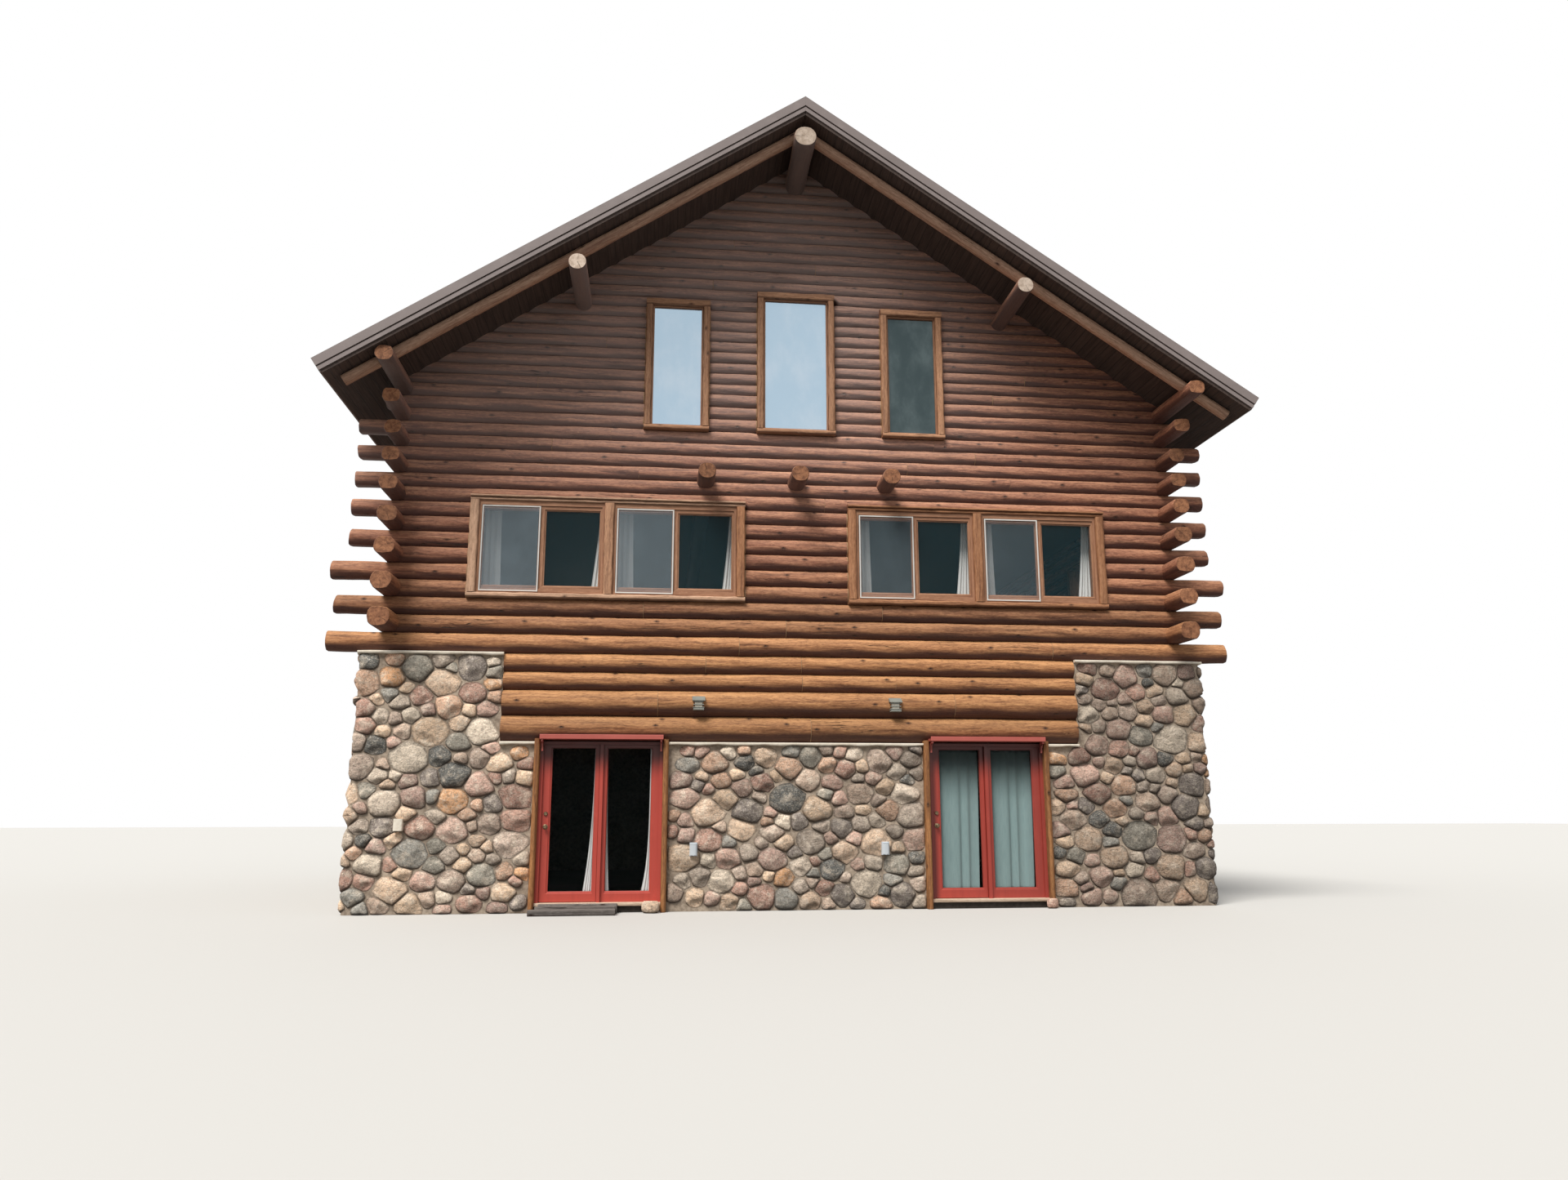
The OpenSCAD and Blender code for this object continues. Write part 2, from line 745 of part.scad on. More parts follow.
module door_hardware(x) color([0.55, 0.45, 0.3]) {
    lockset(x);
    translate([x, 0, 0]) for (z = hinge_zs) moving_hinge(z);
}

module left_door_leaf() color([0.76, 0.23, 0.19]) active_leaf(-door_x);
module right_door_leaf() color([0.76, 0.23, 0.19]) active_leaf(door_x);
module left_door_glass() color([0.15, 0.18, 0.2]) active_pane(-door_x);
module right_door_glass() color([0.15, 0.18, 0.2]) active_pane(door_x);
module left_door_hardware() door_hardware(-door_x);
module right_door_hardware() door_hardware(door_x);

module glass_panes() color([0.5, 0.6, 0.68]) {
    for (s = [-1, 1]) translate([s * door_x, 0, 0])
        leaf_pane(fixed_x0, fixed_x1, hinge_stile, free_stile);
    on_end_walls() {
        for (s = [-1, 1]) translate([s * main_window_x, 0, 0])
            for (x = unit_x(2)) unit_lights(x, -glass_y, -glass_y + glass_t);
        for (w = attic_list) attic_hole(w, 0, -glass_y, -glass_y + glass_t);
    }
    on_side_walls() for (x = unit_x(1)) unit_lights(x, -glass_y, -glass_y + glass_t);
}

// Curtains, as plain closed solids of the cloth's outer shape
cloth_t = 40;
door_cloth_z0 = sill_z + 60;
door_cloth_z1 = head_z - 30;

module door_cloth(x0, x1)
    box([x0, leaf_back + fit, door_cloth_z0], [x1, leaf_back + fit + cloth_t, door_cloth_z1]);

module left_door_curtain() color([0.8, 0.84, 0.88]) translate([-door_x, 0, 0])
    door_cloth(active_x1 - 230, active_x1 - 45);

module right_door_curtain() color([0.8, 0.84, 0.88]) translate([door_x, 0, 0])
    door_cloth(active_x0 + 95, active_x1 - 45);

module curtains() color([0.9, 0.9, 0.88]) {
    pull_w = 300;
    cloth_z0 = main_window_z + 40;
    cloth_z1 = main_window_z + unit_h + 20;
    translate([-door_x, 0, 0]) {
        door_cloth(fixed_x0 + 40, fixed_x0 + 150);
        door_cloth(fixed_x1 - 230, fixed_x1 - 95);
    }
    translate([door_x, 0, 0]) door_cloth(fixed_x0 + 40, fixed_x1 - 95);
    translate([0, -front_y + casing_in_y + fit, 0]) for (s = [-1, 1]) for (x = unit_x(2))
        translate([s * main_window_x + x, 0, 0]) {
            box([-20, 0, cloth_z0], [pull_w, cloth_t, cloth_z1]);
            box([unit_w - 240, 0, cloth_z0], [unit_w + 20, cloth_t, cloth_z1]);
        }
}

// Fittings on the front
module lanterns() color([0.5, 0.53, 0.5]) {
    lamp_x = 1330;
    lamp_w = 170;
    plate_y = -front_y - course_d(-infill_n) / 2 - fit;
    z = course_mid(-infill_n + 1);
    for (s = [-1, 1]) translate([s * lamp_x + lamp_w / 2, plate_y, z]) rotate([90, 0, -90])
        linear_extrude(lamp_w) polygon([
            [0, -95], [0, 95], [12, 95], [60, 60], [95, -20], [100, -95]
        ]);
}

module outlet_covers() color([0.6, 0.6, 0.58]) {
    depth = 30;
    y = -stone_y;
    for (x = [-1370, 1160]) box([x - 50, y - depth, 695], [x + 50, y, 865]);
    box([-5155, y - 20, 1025], [-5045, y, 1175]);
}

module plank_step() color([0.45, 0.42, 0.4]) {
    plank_w = 130;
    // Left end, right end and height of each plank, from the sill outwards
    planks = [[-730, 250, 118], [-755, 230, 96], [-828, 240, 72]];
    for (k = [0:2]) {
        y1 = stone_front + 10 - fit - k * (plank_w + fit);
        box([-door_x + planks[k][0], y1 - plank_w, 0], [-door_x + planks[k][1], y1, planks[k][2]]);
    }
}

basement_slab();
stone_front_left();
stone_front_middle();
stone_front_right();
stone_left_wall();
stone_right_wall();
stone_back_wall();
front_logs_even();
front_logs_odd();
back_logs_even();
back_logs_odd();
side_logs_even();
side_logs_odd();
loft_beams();
main_floor();
loft_floor();
ridge_log();
purlin_logs();
fly_rafters();
roof_deck();
metal_roofing();
ridge_cap();
rake_trim();
eave_trim();
window_casings();
window_frames();
window_screens();
glass_panes();
door_jamb_logs();
door_frames();
door_sills();
door_hoods();
fixed_leaves();
hinge_pins();
left_door_leaf();
left_door_glass();
left_door_hardware();
left_door_curtain();
right_door_leaf();
right_door_glass();
right_door_hardware();
right_door_curtain();
curtains();
lanterns();
outlet_covers();
plank_step();
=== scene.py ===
"""Visual model of a log chalet on a fieldstone basement.

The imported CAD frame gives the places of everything. This script replaces the plain logs,
stonework, windows, door leaves and cloth by detailed surfaces, and gives every CAD piece
that stays visible a procedural finish. Metres, Z up, front towards -Y.
"""
from __future__ import annotations

import logging
import math
from dataclasses import dataclass, field
from enum import Enum
from typing import Any, Callable, Sequence

import bpy
import numpy as np
from mathutils import Matrix, Vector


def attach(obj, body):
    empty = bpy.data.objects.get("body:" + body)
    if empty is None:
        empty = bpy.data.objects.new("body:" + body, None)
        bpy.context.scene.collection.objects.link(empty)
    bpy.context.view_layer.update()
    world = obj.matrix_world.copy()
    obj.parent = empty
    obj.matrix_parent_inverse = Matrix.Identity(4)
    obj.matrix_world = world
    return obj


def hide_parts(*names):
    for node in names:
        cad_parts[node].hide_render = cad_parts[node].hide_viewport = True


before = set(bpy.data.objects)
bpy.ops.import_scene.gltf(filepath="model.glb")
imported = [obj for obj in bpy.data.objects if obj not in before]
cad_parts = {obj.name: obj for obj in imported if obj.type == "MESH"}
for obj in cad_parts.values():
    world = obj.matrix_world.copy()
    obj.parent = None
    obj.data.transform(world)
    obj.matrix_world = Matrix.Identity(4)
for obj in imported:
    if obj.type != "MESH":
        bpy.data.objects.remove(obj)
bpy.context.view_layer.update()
log = logging.getLogger("chalet")

Array = np.ndarray
Colour = tuple[float, float, float]
EVEN = (0.5, 0.5, 0.5)


# Measures of the building, in metres, as the frame has them

SIDE_X = 5.420
FRONT_Y = 4.600
STONE_Y = 4.785
STONE_X = 5.820
STONE_IN_X = 5.270
STONE_IN_Y = 4.385
PIER_X = 3.900
DOOR_X = 2.580
DOOR_W = 1.740
STONE_MID = 2.160
LOG_BASE = 3.330
INFILL = (0.340, 0.340, 0.240, 0.250)
WALL_N = 18
COURSE_H = 0.250
COURSE_TAPER = 0.0055
COURSE_LEAST = 0.185
GABLE_H = 0.161
SLOPE = 0.6667
PITCH = math.atan(SLOPE)
APEX = 10.7444
ROOF_END_Y = 5.935
BEAM_Z = 5.780
ATTIC_Z = 6.0
END_SHARE = 0.955
UNIT_W = 1.675
UNIT_H = 1.270
UNIT_Z = 4.130


@dataclass(frozen=True)
class Course:
    """A course of logs: infill over the doors below 0, full courses, then gable courses."""

    index: int

    @property
    def height(self) -> float:
        """Height from seam to seam."""
        if self.index < 0:
            return INFILL[self.index + len(INFILL)]
        return GABLE_H if self.index >= WALL_N else max(COURSE_H - COURSE_TAPER * self.index, COURSE_LEAST)

    @property
    def z0(self) -> float:
        """Height of its underside over the ground."""
        return STONE_MID + sum(Course(k).height for k in range(-len(INFILL), self.index))

    @property
    def z1(self) -> float:
        """Height of its top, which stays under the roof's apex."""
        return min(Course(self.index + 1).z0, APEX - 0.012)

    @property
    def diameter(self) -> float:
        """Diameter of its logs."""
        return self.height + (0.040 if self.index < 0 else 0.060)

    @property
    def warmth(self) -> float:
        """How golden it is: the logs over the doors most, the upper ones least."""
        return 1.0 if self.index < 0 else max(0.0, 0.85 - 0.17 * self.index)


GABLE_N = math.ceil((APEX - Course(WALL_N).z0) / GABLE_H)


# Surfaces

def ripple(t: Array, seed: int, wave: float, parts: int = 4) -> Array:
    """Smooth noise between about -1 and 1: a sum of sines whose phases come from the seed.

    Args:
        t: places along the line, in metres.
        seed: picks the phases and the small changes of wave length.
        wave: longest wave length in metres; each part is about half as long as the last.
        parts: number of sines.
    Returns:
        One value for each place.
    """
    rng = np.random.default_rng(seed + 5000)
    total = np.zeros_like(np.asarray(t, float))
    norm = 0.0
    for k in range(parts):
        size = 0.62 ** k
        length = wave / (1.9 ** k) * rng.uniform(0.8, 1.25)
        total = total + size * np.sin(2 * math.pi * (t / length + rng.random()))
        norm += size
    return total / norm * 1.4


def add_object(name: str, data: Any, finishes: Sequence[bpy.types.Material] = ()) -> bpy.types.Object:
    """Links an object for a mesh, lamp or camera.

    Args:
        name: its name.
        data: what it shows.
        finishes: its materials, in order.
    Returns:
        The linked object.
    """
    for finish in finishes:
        data.materials.append(finish)
    made = bpy.data.objects.new(name, data)
    bpy.context.scene.collection.objects.link(made)
    return made


@dataclass
class Surface:
    """Collects closed shells of one piece, and turns them into one mesh object."""

    name: str
    points: list[Array] = field(default_factory=list)
    cells: list[Array] = field(default_factory=list)
    faces: list[tuple[Array, Array, int]] = field(default_factory=list)
    count: int = 0

    def shell(self, points: Array, faces: Sequence[tuple[Array, Array, int]],
              cell: Array | Sequence[float] = EVEN) -> None:
        """Adds one closed shell, turned so that its faces point outwards.

        Args:
            points: (n, 3) places.
            faces: groups of (corner indices (m, k), corner UVs (m, k, 2), material place).
            cell: three values kept on the shell's points, one row or one for each point.
        """
        volume = 0.0
        for corners, _, _ in faces:
            a = points[corners[:, 0]]
            for k in range(1, corners.shape[1] - 1):
                b, c = points[corners[:, k]], points[corners[:, k + 1]]
                volume += float(np.einsum("ij,ij->", a, np.cross(b, c)))
        for corners, uvs, place in faces:
            if volume < 0:
                corners, uvs = corners[:, ::-1], uvs[:, ::-1]
            self.faces.append((corners + self.count, uvs, place))
        self.points.append(points)
        self.cells.append(np.broadcast_to(np.asarray(cell, float), points.shape).copy())
        self.count += len(points)

    def loft(self, rings: Array, place: int = 0, cap_place: int | None = None,
             cap_uv: Array | None = None, cell: Sequence[float] = EVEN, caps: bool = True,
             u0: float = 0.0) -> None:
        """Joins rings of points into one shell: walls between rings and a fan on each end.

        The UV map has the distance along the shell in u and the girth in v.

        Args:
            rings: (n, m, 3) places, m round each ring.
            place: material place of the walls.
            cap_place: material place of the two ends.
            cap_uv: (m, 2) flat coordinates for the ends.
            cell: three values for the shell.
            caps: closes the ends; without it the first and last rings are joined.
            u0: what u starts from.
        """
        n, m, _ = rings.shape
        points = rings.reshape(-1, 3)
        i, j = np.indices((n - 1 if caps else n, m)).reshape(2, -1)
        i1, j1 = (i + 1) % n, (j + 1) % m
        quads = np.stack([i * m + j, i1 * m + j, i1 * m + j1, i * m + j1], axis=1)
        mid = rings.mean(axis=1)
        steps = np.linalg.norm(np.roll(mid, -1, axis=0) - mid, axis=1)
        along = np.concatenate([[0.0], np.cumsum(steps)]) + u0
        girth = np.linalg.norm(np.roll(rings, -1, axis=1) - rings, axis=2).mean(axis=0)
        around = np.concatenate([[0.0], np.cumsum(girth)])
        u = np.stack([along[i], along[i + 1], along[i + 1], along[i]], axis=1)
        v = np.stack([around[j], around[j], around[j + 1], around[j + 1]], axis=1)
        groups = [(quads, np.stack([u, v], axis=2), place)]
        if caps:
            flat = np.zeros((m, 2)) if cap_uv is None else cap_uv
            middle = np.broadcast_to(flat.mean(axis=0), (m, 2))
            k = np.arange(m)
            k1 = (k + 1) % m
            for row, first, second in ((0, k, k1), (n - 1, k1, k)):
                fan = np.stack([np.full(m, len(points)), row * m + first, row * m + second], axis=1)
                points = np.vstack([points, rings[row].mean(axis=0)])
                groups.append((fan, np.stack([middle, flat[first], flat[second]], axis=1),
                               place if cap_place is None else cap_place))
        self.shell(points, groups, cell)

    def build(self, finishes: Sequence[bpy.types.Material], slot: str, body: str = "root",
              replaces: Sequence[str] = (), sharp: float = 38.0) -> None:
        """Makes the object, and says what it rides on and stands for.

        Args:
            finishes: materials in the order of the shells' places.
            slot: not used.
            body: the body that it rides on.
            replaces: CAD nodes that it stands for.
            sharp: edges bent by more degrees than this stay sharp.
        """
        points = np.vstack(self.points)
        mesh = bpy.data.meshes.new(self.name)
        mesh.vertices.add(len(points))
        mesh.vertices.foreach_set("co", points.ravel())
        totals = np.concatenate([np.full(len(f), f.shape[1]) for f, _, _ in self.faces])
        loops = np.concatenate([f.ravel() for f, _, _ in self.faces])
        uvs = np.concatenate([u.reshape(-1, 2) for _, u, _ in self.faces])
        places = np.concatenate([np.full(len(f), p) for f, _, p in self.faces])
        mesh.loops.add(len(loops))
        mesh.loops.foreach_set("vertex_index", loops.astype(np.int32))
        mesh.polygons.add(len(totals))
        starts = np.concatenate([[0], np.cumsum(totals)[:-1]]).astype(np.int32)
        mesh.polygons.foreach_set("loop_start", starts)
        mesh.polygons.foreach_set("material_index", places.astype(np.int32))
        mesh.uv_layers.new(name="UVMap").data.foreach_set("uv", uvs.ravel())
        cells = mesh.attributes.new("cell", "FLOAT_VECTOR", "POINT")
        cells.data.foreach_set("vector", np.vstack(self.cells).ravel())
        mesh.update(calc_edges=True)
        mesh.validate()
        mesh.shade_smooth()
        mesh.set_sharp_from_angle(angle=math.radians(sharp))
        piece = add_object(self.name, mesh, finishes)
        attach(piece, body)
        if replaces:
            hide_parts(*replaces)
        mesh.calc_loop_triangles()
        log.info("%s: %d triangles", self.name, len(mesh.loop_triangles))


def rounded_section(width: float, depth: float, radius: float, face: int = 0,
                    crown: float = 0.0, power: float = 2.4, turns: int = 3) -> Array:
    """Outline of a rounded rectangle, with more points on its front for a crowned face.

    Each corner is a quarter circle, and the front side (positive second coordinate) falls away
    from its middle by crown times the share of the half width to the power.

    Args:
        width: size along the first coordinate.
        depth: size along the second coordinate.
        radius: corner radius.
        face: points along the front between its corners.
        crown: how far the front's corners fall back.
        power: how late they do so.
        turns: points on each corner.
    Returns:
        (m, 2) points, counterclockwise.
    """
    half = np.array([width / 2 - radius, depth / 2 - radius])
    parts = []
    for k, signs in enumerate(((1, -1), (1, 1), (-1, 1), (-1, -1))):
        angle = np.linspace(0, math.pi / 2, turns) + (k - 1) * math.pi / 2
        parts.append(np.stack([np.cos(angle), np.sin(angle)], axis=1) * radius + half * signs)
        if k == 1 and face:
            x = np.linspace(half[0], -half[0], face + 2)[1:-1]
            parts.append(np.stack([x, np.full(face, depth / 2)], axis=1))
    outline = np.vstack(parts)
    fall = crown * (2 * np.abs(outline[:, 0]) / width) ** power
    outline[:, 1] -= np.where(outline[:, 1] > 0, fall, 0.0)
    return outline


def sweep(outline: Array, places: Array | Sequence[float], axis: int) -> Array:
    """Rings of an outline at places along an axis.

    Args:
        outline: (m, 2) values along the other two axes, or (n, m, 2) for one outline a ring.
        places: (n,) places along the axis.
        axis: the axis.
    Returns:
        (n, m, 3) rings.
    """
    rings = np.zeros((len(places), outline.shape[-2], 3))
    rings[..., axis] = np.asarray(places)[:, None]
    rings[..., [k for k in range(3) if k != axis]] = outline
    return rings


def board(surface: Surface, low: Sequence[float], high: Sequence[float], axis: int,
          radius: float = 0.004, wave: float = 0.0, seed: int = 0, place: int = 0,
          front: int = 1, crown: float = 0.0, step: float = 0.25) -> None:
    """A sawn or live-edged board between two corners, with rounded edges.

    Args:
        surface: the piece it belongs to.
        low: lowest corner.
        high: highest corner.
        axis: the axis it runs along.
        radius: radius of its long edges.
        wave: how much its two narrow sides wander.
        seed: picks the wander and the grain's place.
        place: material place.
        front: the axis that the crowned front faces, against its direction.
        crown: how far the front's edges fall back.
        step: distance between rings.
    """
    low_v, high_v = np.asarray(low, float), np.asarray(high, float)
    side = 3 - axis - front
    size, middle = high_v - low_v, (low_v + high_v) / 2
    section = rounded_section(size[side], size[front], radius, 5 if crown else 0, crown)
    along = np.linspace(low_v[axis], high_v[axis], max(3, int(size[axis] / step) + 2))
    left, right = (wave * (ripple(along, seed + k, 0.9) - 0.3)[:, None] for k in (1, 2))
    outline = {side: middle[side] + section[:, 0] * (1 + (left + right) / size[side]) + (right - left) / 2,
               front: middle[front] - section[:, 1] + np.zeros_like(left)}
    rng = np.random.default_rng(seed + 77)
    surface.loft(sweep(np.stack([outline[k] for k in sorted(outline)], axis=-1), along, axis), place,
                 cap_uv=section, cell=(rng.random(), 0.5, rng.random()), u0=rng.random() * 5)


def round_bar(surface: Surface, start: Sequence[float], end: Sequence[float], radius: float,
              sides: int = 12) -> None:
    """A plain round bar between two points, with slightly turned-in ends.

    Args:
        surface: the piece it belongs to.
        start: middle of one end.
        end: middle of the other end.
        radius: its radius.
        sides: points round it.
    """
    a, b = np.asarray(start, float), np.asarray(end, float)
    length = np.linalg.norm(b - a)
    way = (b - a) / length
    side = np.cross(way, [0.31, 0.17, 0.93])
    side /= np.linalg.norm(side)
    angle = np.arange(sides) * 2 * math.pi / sides
    circle = np.stack([np.cos(angle), np.sin(angle)], axis=1) * radius
    edge = min(radius * 0.3, length * 0.1)
    places = np.array([0, edge, length - edge, length])
    size = np.array([0.75, 1, 1, 0.75])[:, None, None]
    round_it = circle[:, :1] * side + circle[:, 1:] * np.cross(way, side)
    surface.loft((a + places[:, None] * way)[:, None, :] + size * round_it, cap_uv=circle)


@dataclass(frozen=True)
class Rect:
    """A rectangle on a wall: its edges along the wall and in height."""

    x0: float
    x1: float
    z0: float
    z1: float

    def inset(self, left: float, right: float, bottom: float, top: float) -> "Rect":
        """The rectangle with each side moved inwards."""
        return Rect(self.x0 + left, self.x1 - right, self.z0 + bottom, self.z1 - top)


def ring_frame(surface: Surface, facing: "Facing", area: Rect, widths: Sequence[float],
               profile: Sequence[tuple[float, float]], place: int = 0) -> None:
    """A mitred rectangular frame: a profile carried round a rectangle.

    Each profile point is (share, depth): share 0 lies on the outer edge and 1 on the inner
    one, so that every side may have its own width, and depth is measured outwards.

    Args:
        surface: the piece it belongs to.
        facing: the wall that carries it.
        area: its outer edges.
        widths: widths of the left, right, bottom and top sides.
        profile: closed outline of the side's section.
        place: material place.
    """
    share, depth = np.array(profile).T
    inner = area.inset(*(width * share for width in widths))
    rings = [facing.place(x, depth, z) for x, z in (
        (inner.x0, inner.z0), (inner.x1, inner.z0), (inner.x1, inner.z1), (inner.x0, inner.z1))]
    surface.loft(np.stack(rings), place, caps=False)


@dataclass(frozen=True)
class Facing:
    """A wall's own coordinates: along it, outwards from its centre plane, and up."""

    centre: tuple[float, float]
    along: tuple[float, float]
    out: tuple[float, float]

    def place(self, t: Array | float, out: Array | float, z: Array | float) -> Array:
        """Turns wall coordinates into the model's, as an array with three columns."""
        x, y = (self.centre[k] + t * self.along[k] + out * self.out[k] for k in (0, 1))
        return np.stack(np.broadcast_arrays(x, y, z), axis=-1)


class Wall(Enum):
    """The four log walls."""

    FRONT = Facing((0.0, -FRONT_Y), (1.0, 0.0), (0.0, -1.0))
    BACK = Facing((0.0, FRONT_Y), (-1.0, 0.0), (0.0, 1.0))
    LEFT = Facing((-SIDE_X, 0.0), (0.0, -1.0), (-1.0, 0.0))
    RIGHT = Facing((SIDE_X, 0.0), (0.0, 1.0), (1.0, 0.0))

    @property
    def is_end(self) -> bool:
        """True for the two gable walls."""
        return self in (Wall.FRONT, Wall.BACK)


# Materials

def operator(kind: str, swapped: bool = False) -> Callable[["Wire", Any], "Wire"]:
    """Makes the method behind an operator.

    Args:
        kind: the Math node's operation.
        swapped: the wire comes second.
    Returns:
        The method, which adds one Math node.
    """
    def method(wire: "Wire", other: Any) -> "Wire":
        """Adds the node."""
        pair = (other, wire) if swapped else (wire, other)
        return wire.net.node("ShaderNodeMath", {"operation": kind}, dict(enumerate(pair)))
    return method


@dataclass
class Wire:
    """A node's output that takes part in sums."""

    net: "Net"
    socket: bpy.types.NodeSocket

    __add__ = __radd__ = operator("ADD")
    __sub__ = operator("SUBTRACT")
    __rsub__ = operator("SUBTRACT", True)
    __mul__ = __rmul__ = operator("MULTIPLY")
    __truediv__ = operator("DIVIDE")
    __mod__ = operator("FLOORED_MODULO")
    above = operator("GREATER_THAN")
    least = operator("MINIMUM")
    most = operator("MAXIMUM")

    def maths(self, kind: str) -> "Wire":
        """Adds a Math node of one value."""
        return self.net.node("ShaderNodeMath", {"operation": kind}, {0: self})

    def __abs__(self) -> "Wire":
        """Size without its sign."""
        return self.maths("ABSOLUTE")

    def step(self, low: float, high: float) -> "Wire":
        """Smooth step from nought at low to one at high."""
        return self.net.node("ShaderNodeMapRange", {"interpolation_type": "SMOOTHSTEP"},
                             {"Value": self, "From Min": low, "From Max": high})

    def span(self, low: float, high: float) -> "Wire":
        """Maps nought to one onto low to high."""
        return self.net.node("ShaderNodeMapRange", {}, {"Value": self, "To Min": low, "To Max": high})


@dataclass
class Net:
    """A node tree, to which nodes are added one expression at a time."""

    tree: bpy.types.NodeTree

    def node(self, kind: str, settings: dict[str, Any] | None = None,
             sockets: dict[Any, Any] | None = None, out: int | str = 0) -> Wire:
        """Adds any node.

        Args:
            kind: the node's type.
            settings: its properties; "stops" are a ramp's (place, colour) pairs.
            sockets: values or wires for its inputs, by name or place.
            out: which output to hand back.
        Returns:
            A wire on that output.
        """
        made = self.tree.nodes.new(kind)
        for key, value in (settings or {}).items():
            if key == "stops":
                made.color_ramp.interpolation = "CONSTANT"
                for _ in value[2:]:
                    made.color_ramp.elements.new(1.0)
                for element, (at, colour) in zip(made.color_ramp.elements, value):
                    element.position = at
                    element.color = (*colour, 1.0)
            else:
                setattr(made, key, value)
        self.feed(made, sockets or {})
        return Wire(self, made.outputs[out])

    def feed(self, made: bpy.types.Node, sockets: dict[Any, Any]) -> None:
        """Sets or links a node's inputs; a colour is three numbers.

        Args:
            made: the node.
            sockets: values or wires, by name or place.
        """
        for key, value in sockets.items():
            socket = made.inputs[key]
            if isinstance(value, Wire):
                self.tree.links.new(value.socket, socket)
            elif socket.type == "RGBA":
                socket.default_value = (*value, 1.0)
            else:
                socket.default_value = value

    def mix(self, base: Any, *coats: tuple[Any, Any]) -> Wire:
        """Lays coats over a base colour, each a colour and its share."""
        for colour, share in coats:
            base = self.node("ShaderNodeMix", {"data_type": "RGBA"}, {0: share, 6: base, 7: colour}, 2)
        return base

    def stretch(self, vector: Wire, by: Colour, shift: Any = (0.0, 0.0, 0.0)) -> Wire:
        """Scales a vector along each axis, then moves it."""
        return self.node("ShaderNodeVectorMath", {"operation": "MULTIPLY_ADD"},
                         {0: vector, 1: by, 2: shift})

    def moved(self, vector: Wire, shift: Wire) -> Wire:
        """A vector moved by another."""
        return self.node("ShaderNodeVectorMath", {"operation": "ADD"}, {0: vector, 1: shift})

    def length(self, vector: Wire) -> Wire:
        """A vector's length."""
        return self.node("ShaderNodeVectorMath", {"operation": "LENGTH"}, {0: vector}, "Value")

    def noise(self, vector: Wire, scale: float, detail: float = 4.0, rough: float = 0.55,
              distortion: float = 0.0) -> Wire:
        """Noise between nought and one."""
        return self.node("ShaderNodeTexNoise", {}, {
            "Vector": vector, "Scale": scale, "Detail": detail, "Roughness": rough,
            "Distortion": distortion})

    def bright(self, colour: Wire, value: Wire) -> Wire:
        """A colour made lighter or darker by a factor."""
        return self.node("ShaderNodeHueSaturation", {}, {"Value": value, "Color": colour})

    def part(self, vector: Wire, k: int) -> Wire:
        """One coordinate of a vector."""
        return self.node("ShaderNodeSeparateXYZ", {}, {0: vector}, k)

    def vector(self, x: Any, y: Any, z: Any) -> Wire:
        """A vector from three values."""
        return self.node("ShaderNodeCombineXYZ", {}, {0: x, 1: y, 2: z})

    def cell(self, k: int) -> Wire:
        """One of the three values kept on each shell."""
        return self.part(self.node("ShaderNodeAttribute", {"attribute_name": "cell"}, {}, "Vector"), k)

    def facing(self, k: int) -> Wire:
        """One part of the direction that the surface faces."""
        return self.part(self.node("ShaderNodeNewGeometry", out="Normal"), k)

    @property
    def here(self) -> Wire:
        """The object's own coordinates."""
        return self.node("ShaderNodeTexCoord", out="Object")

    @property
    def uv(self) -> Wire:
        """The piece's own UV map."""
        return self.node("ShaderNodeUVMap", {"uv_map": "UVMap"})

    @property
    def seen(self) -> Wire:
        """One for rays from the camera, off gloss and through glass, else nought."""
        camera, gloss, glass = (self.node("ShaderNodeLightPath", out=f"Is {kind} Ray")
                                for kind in ("Camera", "Glossy", "Transmission"))
        return camera.most(gloss).most(glass)


class Coat(Net):
    """The nodes of one material, which end in a Principled shader."""

    def __init__(self, name: str) -> None:
        """Starts the material."""
        self.material = bpy.data.materials.new(name)
        self.material.use_nodes = True
        super().__init__(self.material.node_tree)
        self.tree.nodes.clear()
        self.shader = self.tree.nodes.new("ShaderNodeBsdfPrincipled")
        output = self.tree.nodes.new("ShaderNodeOutputMaterial")
        self.tree.links.new(self.shader.outputs[0], output.inputs[0])

    def finish(self, base: Any, rough: Any, height: Wire | None = None, depth: float = 0.0,
               strength: float = 0.0, **plain: Any) -> bpy.types.Material:
        """Joins colour, roughness and relief to the shader.

        Args:
            base: colour or wire.
            rough: roughness or wire.
            height: relief between nought and one.
            depth: what a relief of one stands for, in metres.
            strength: strength of the relief.
            plain: other sockets of the shader by name, with _ for a space.
        Returns:
            The material.
        """
        values = {key.replace("_", " "): value for key, value in plain.items()}
        if height is not None:
            values["Normal"] = self.node("ShaderNodeBump", {}, {
                "Strength": strength, "Distance": depth, "Height": height})
        self.feed(self.shader, {"Base Color": base, "Roughness": rough, **values})
        return self.material


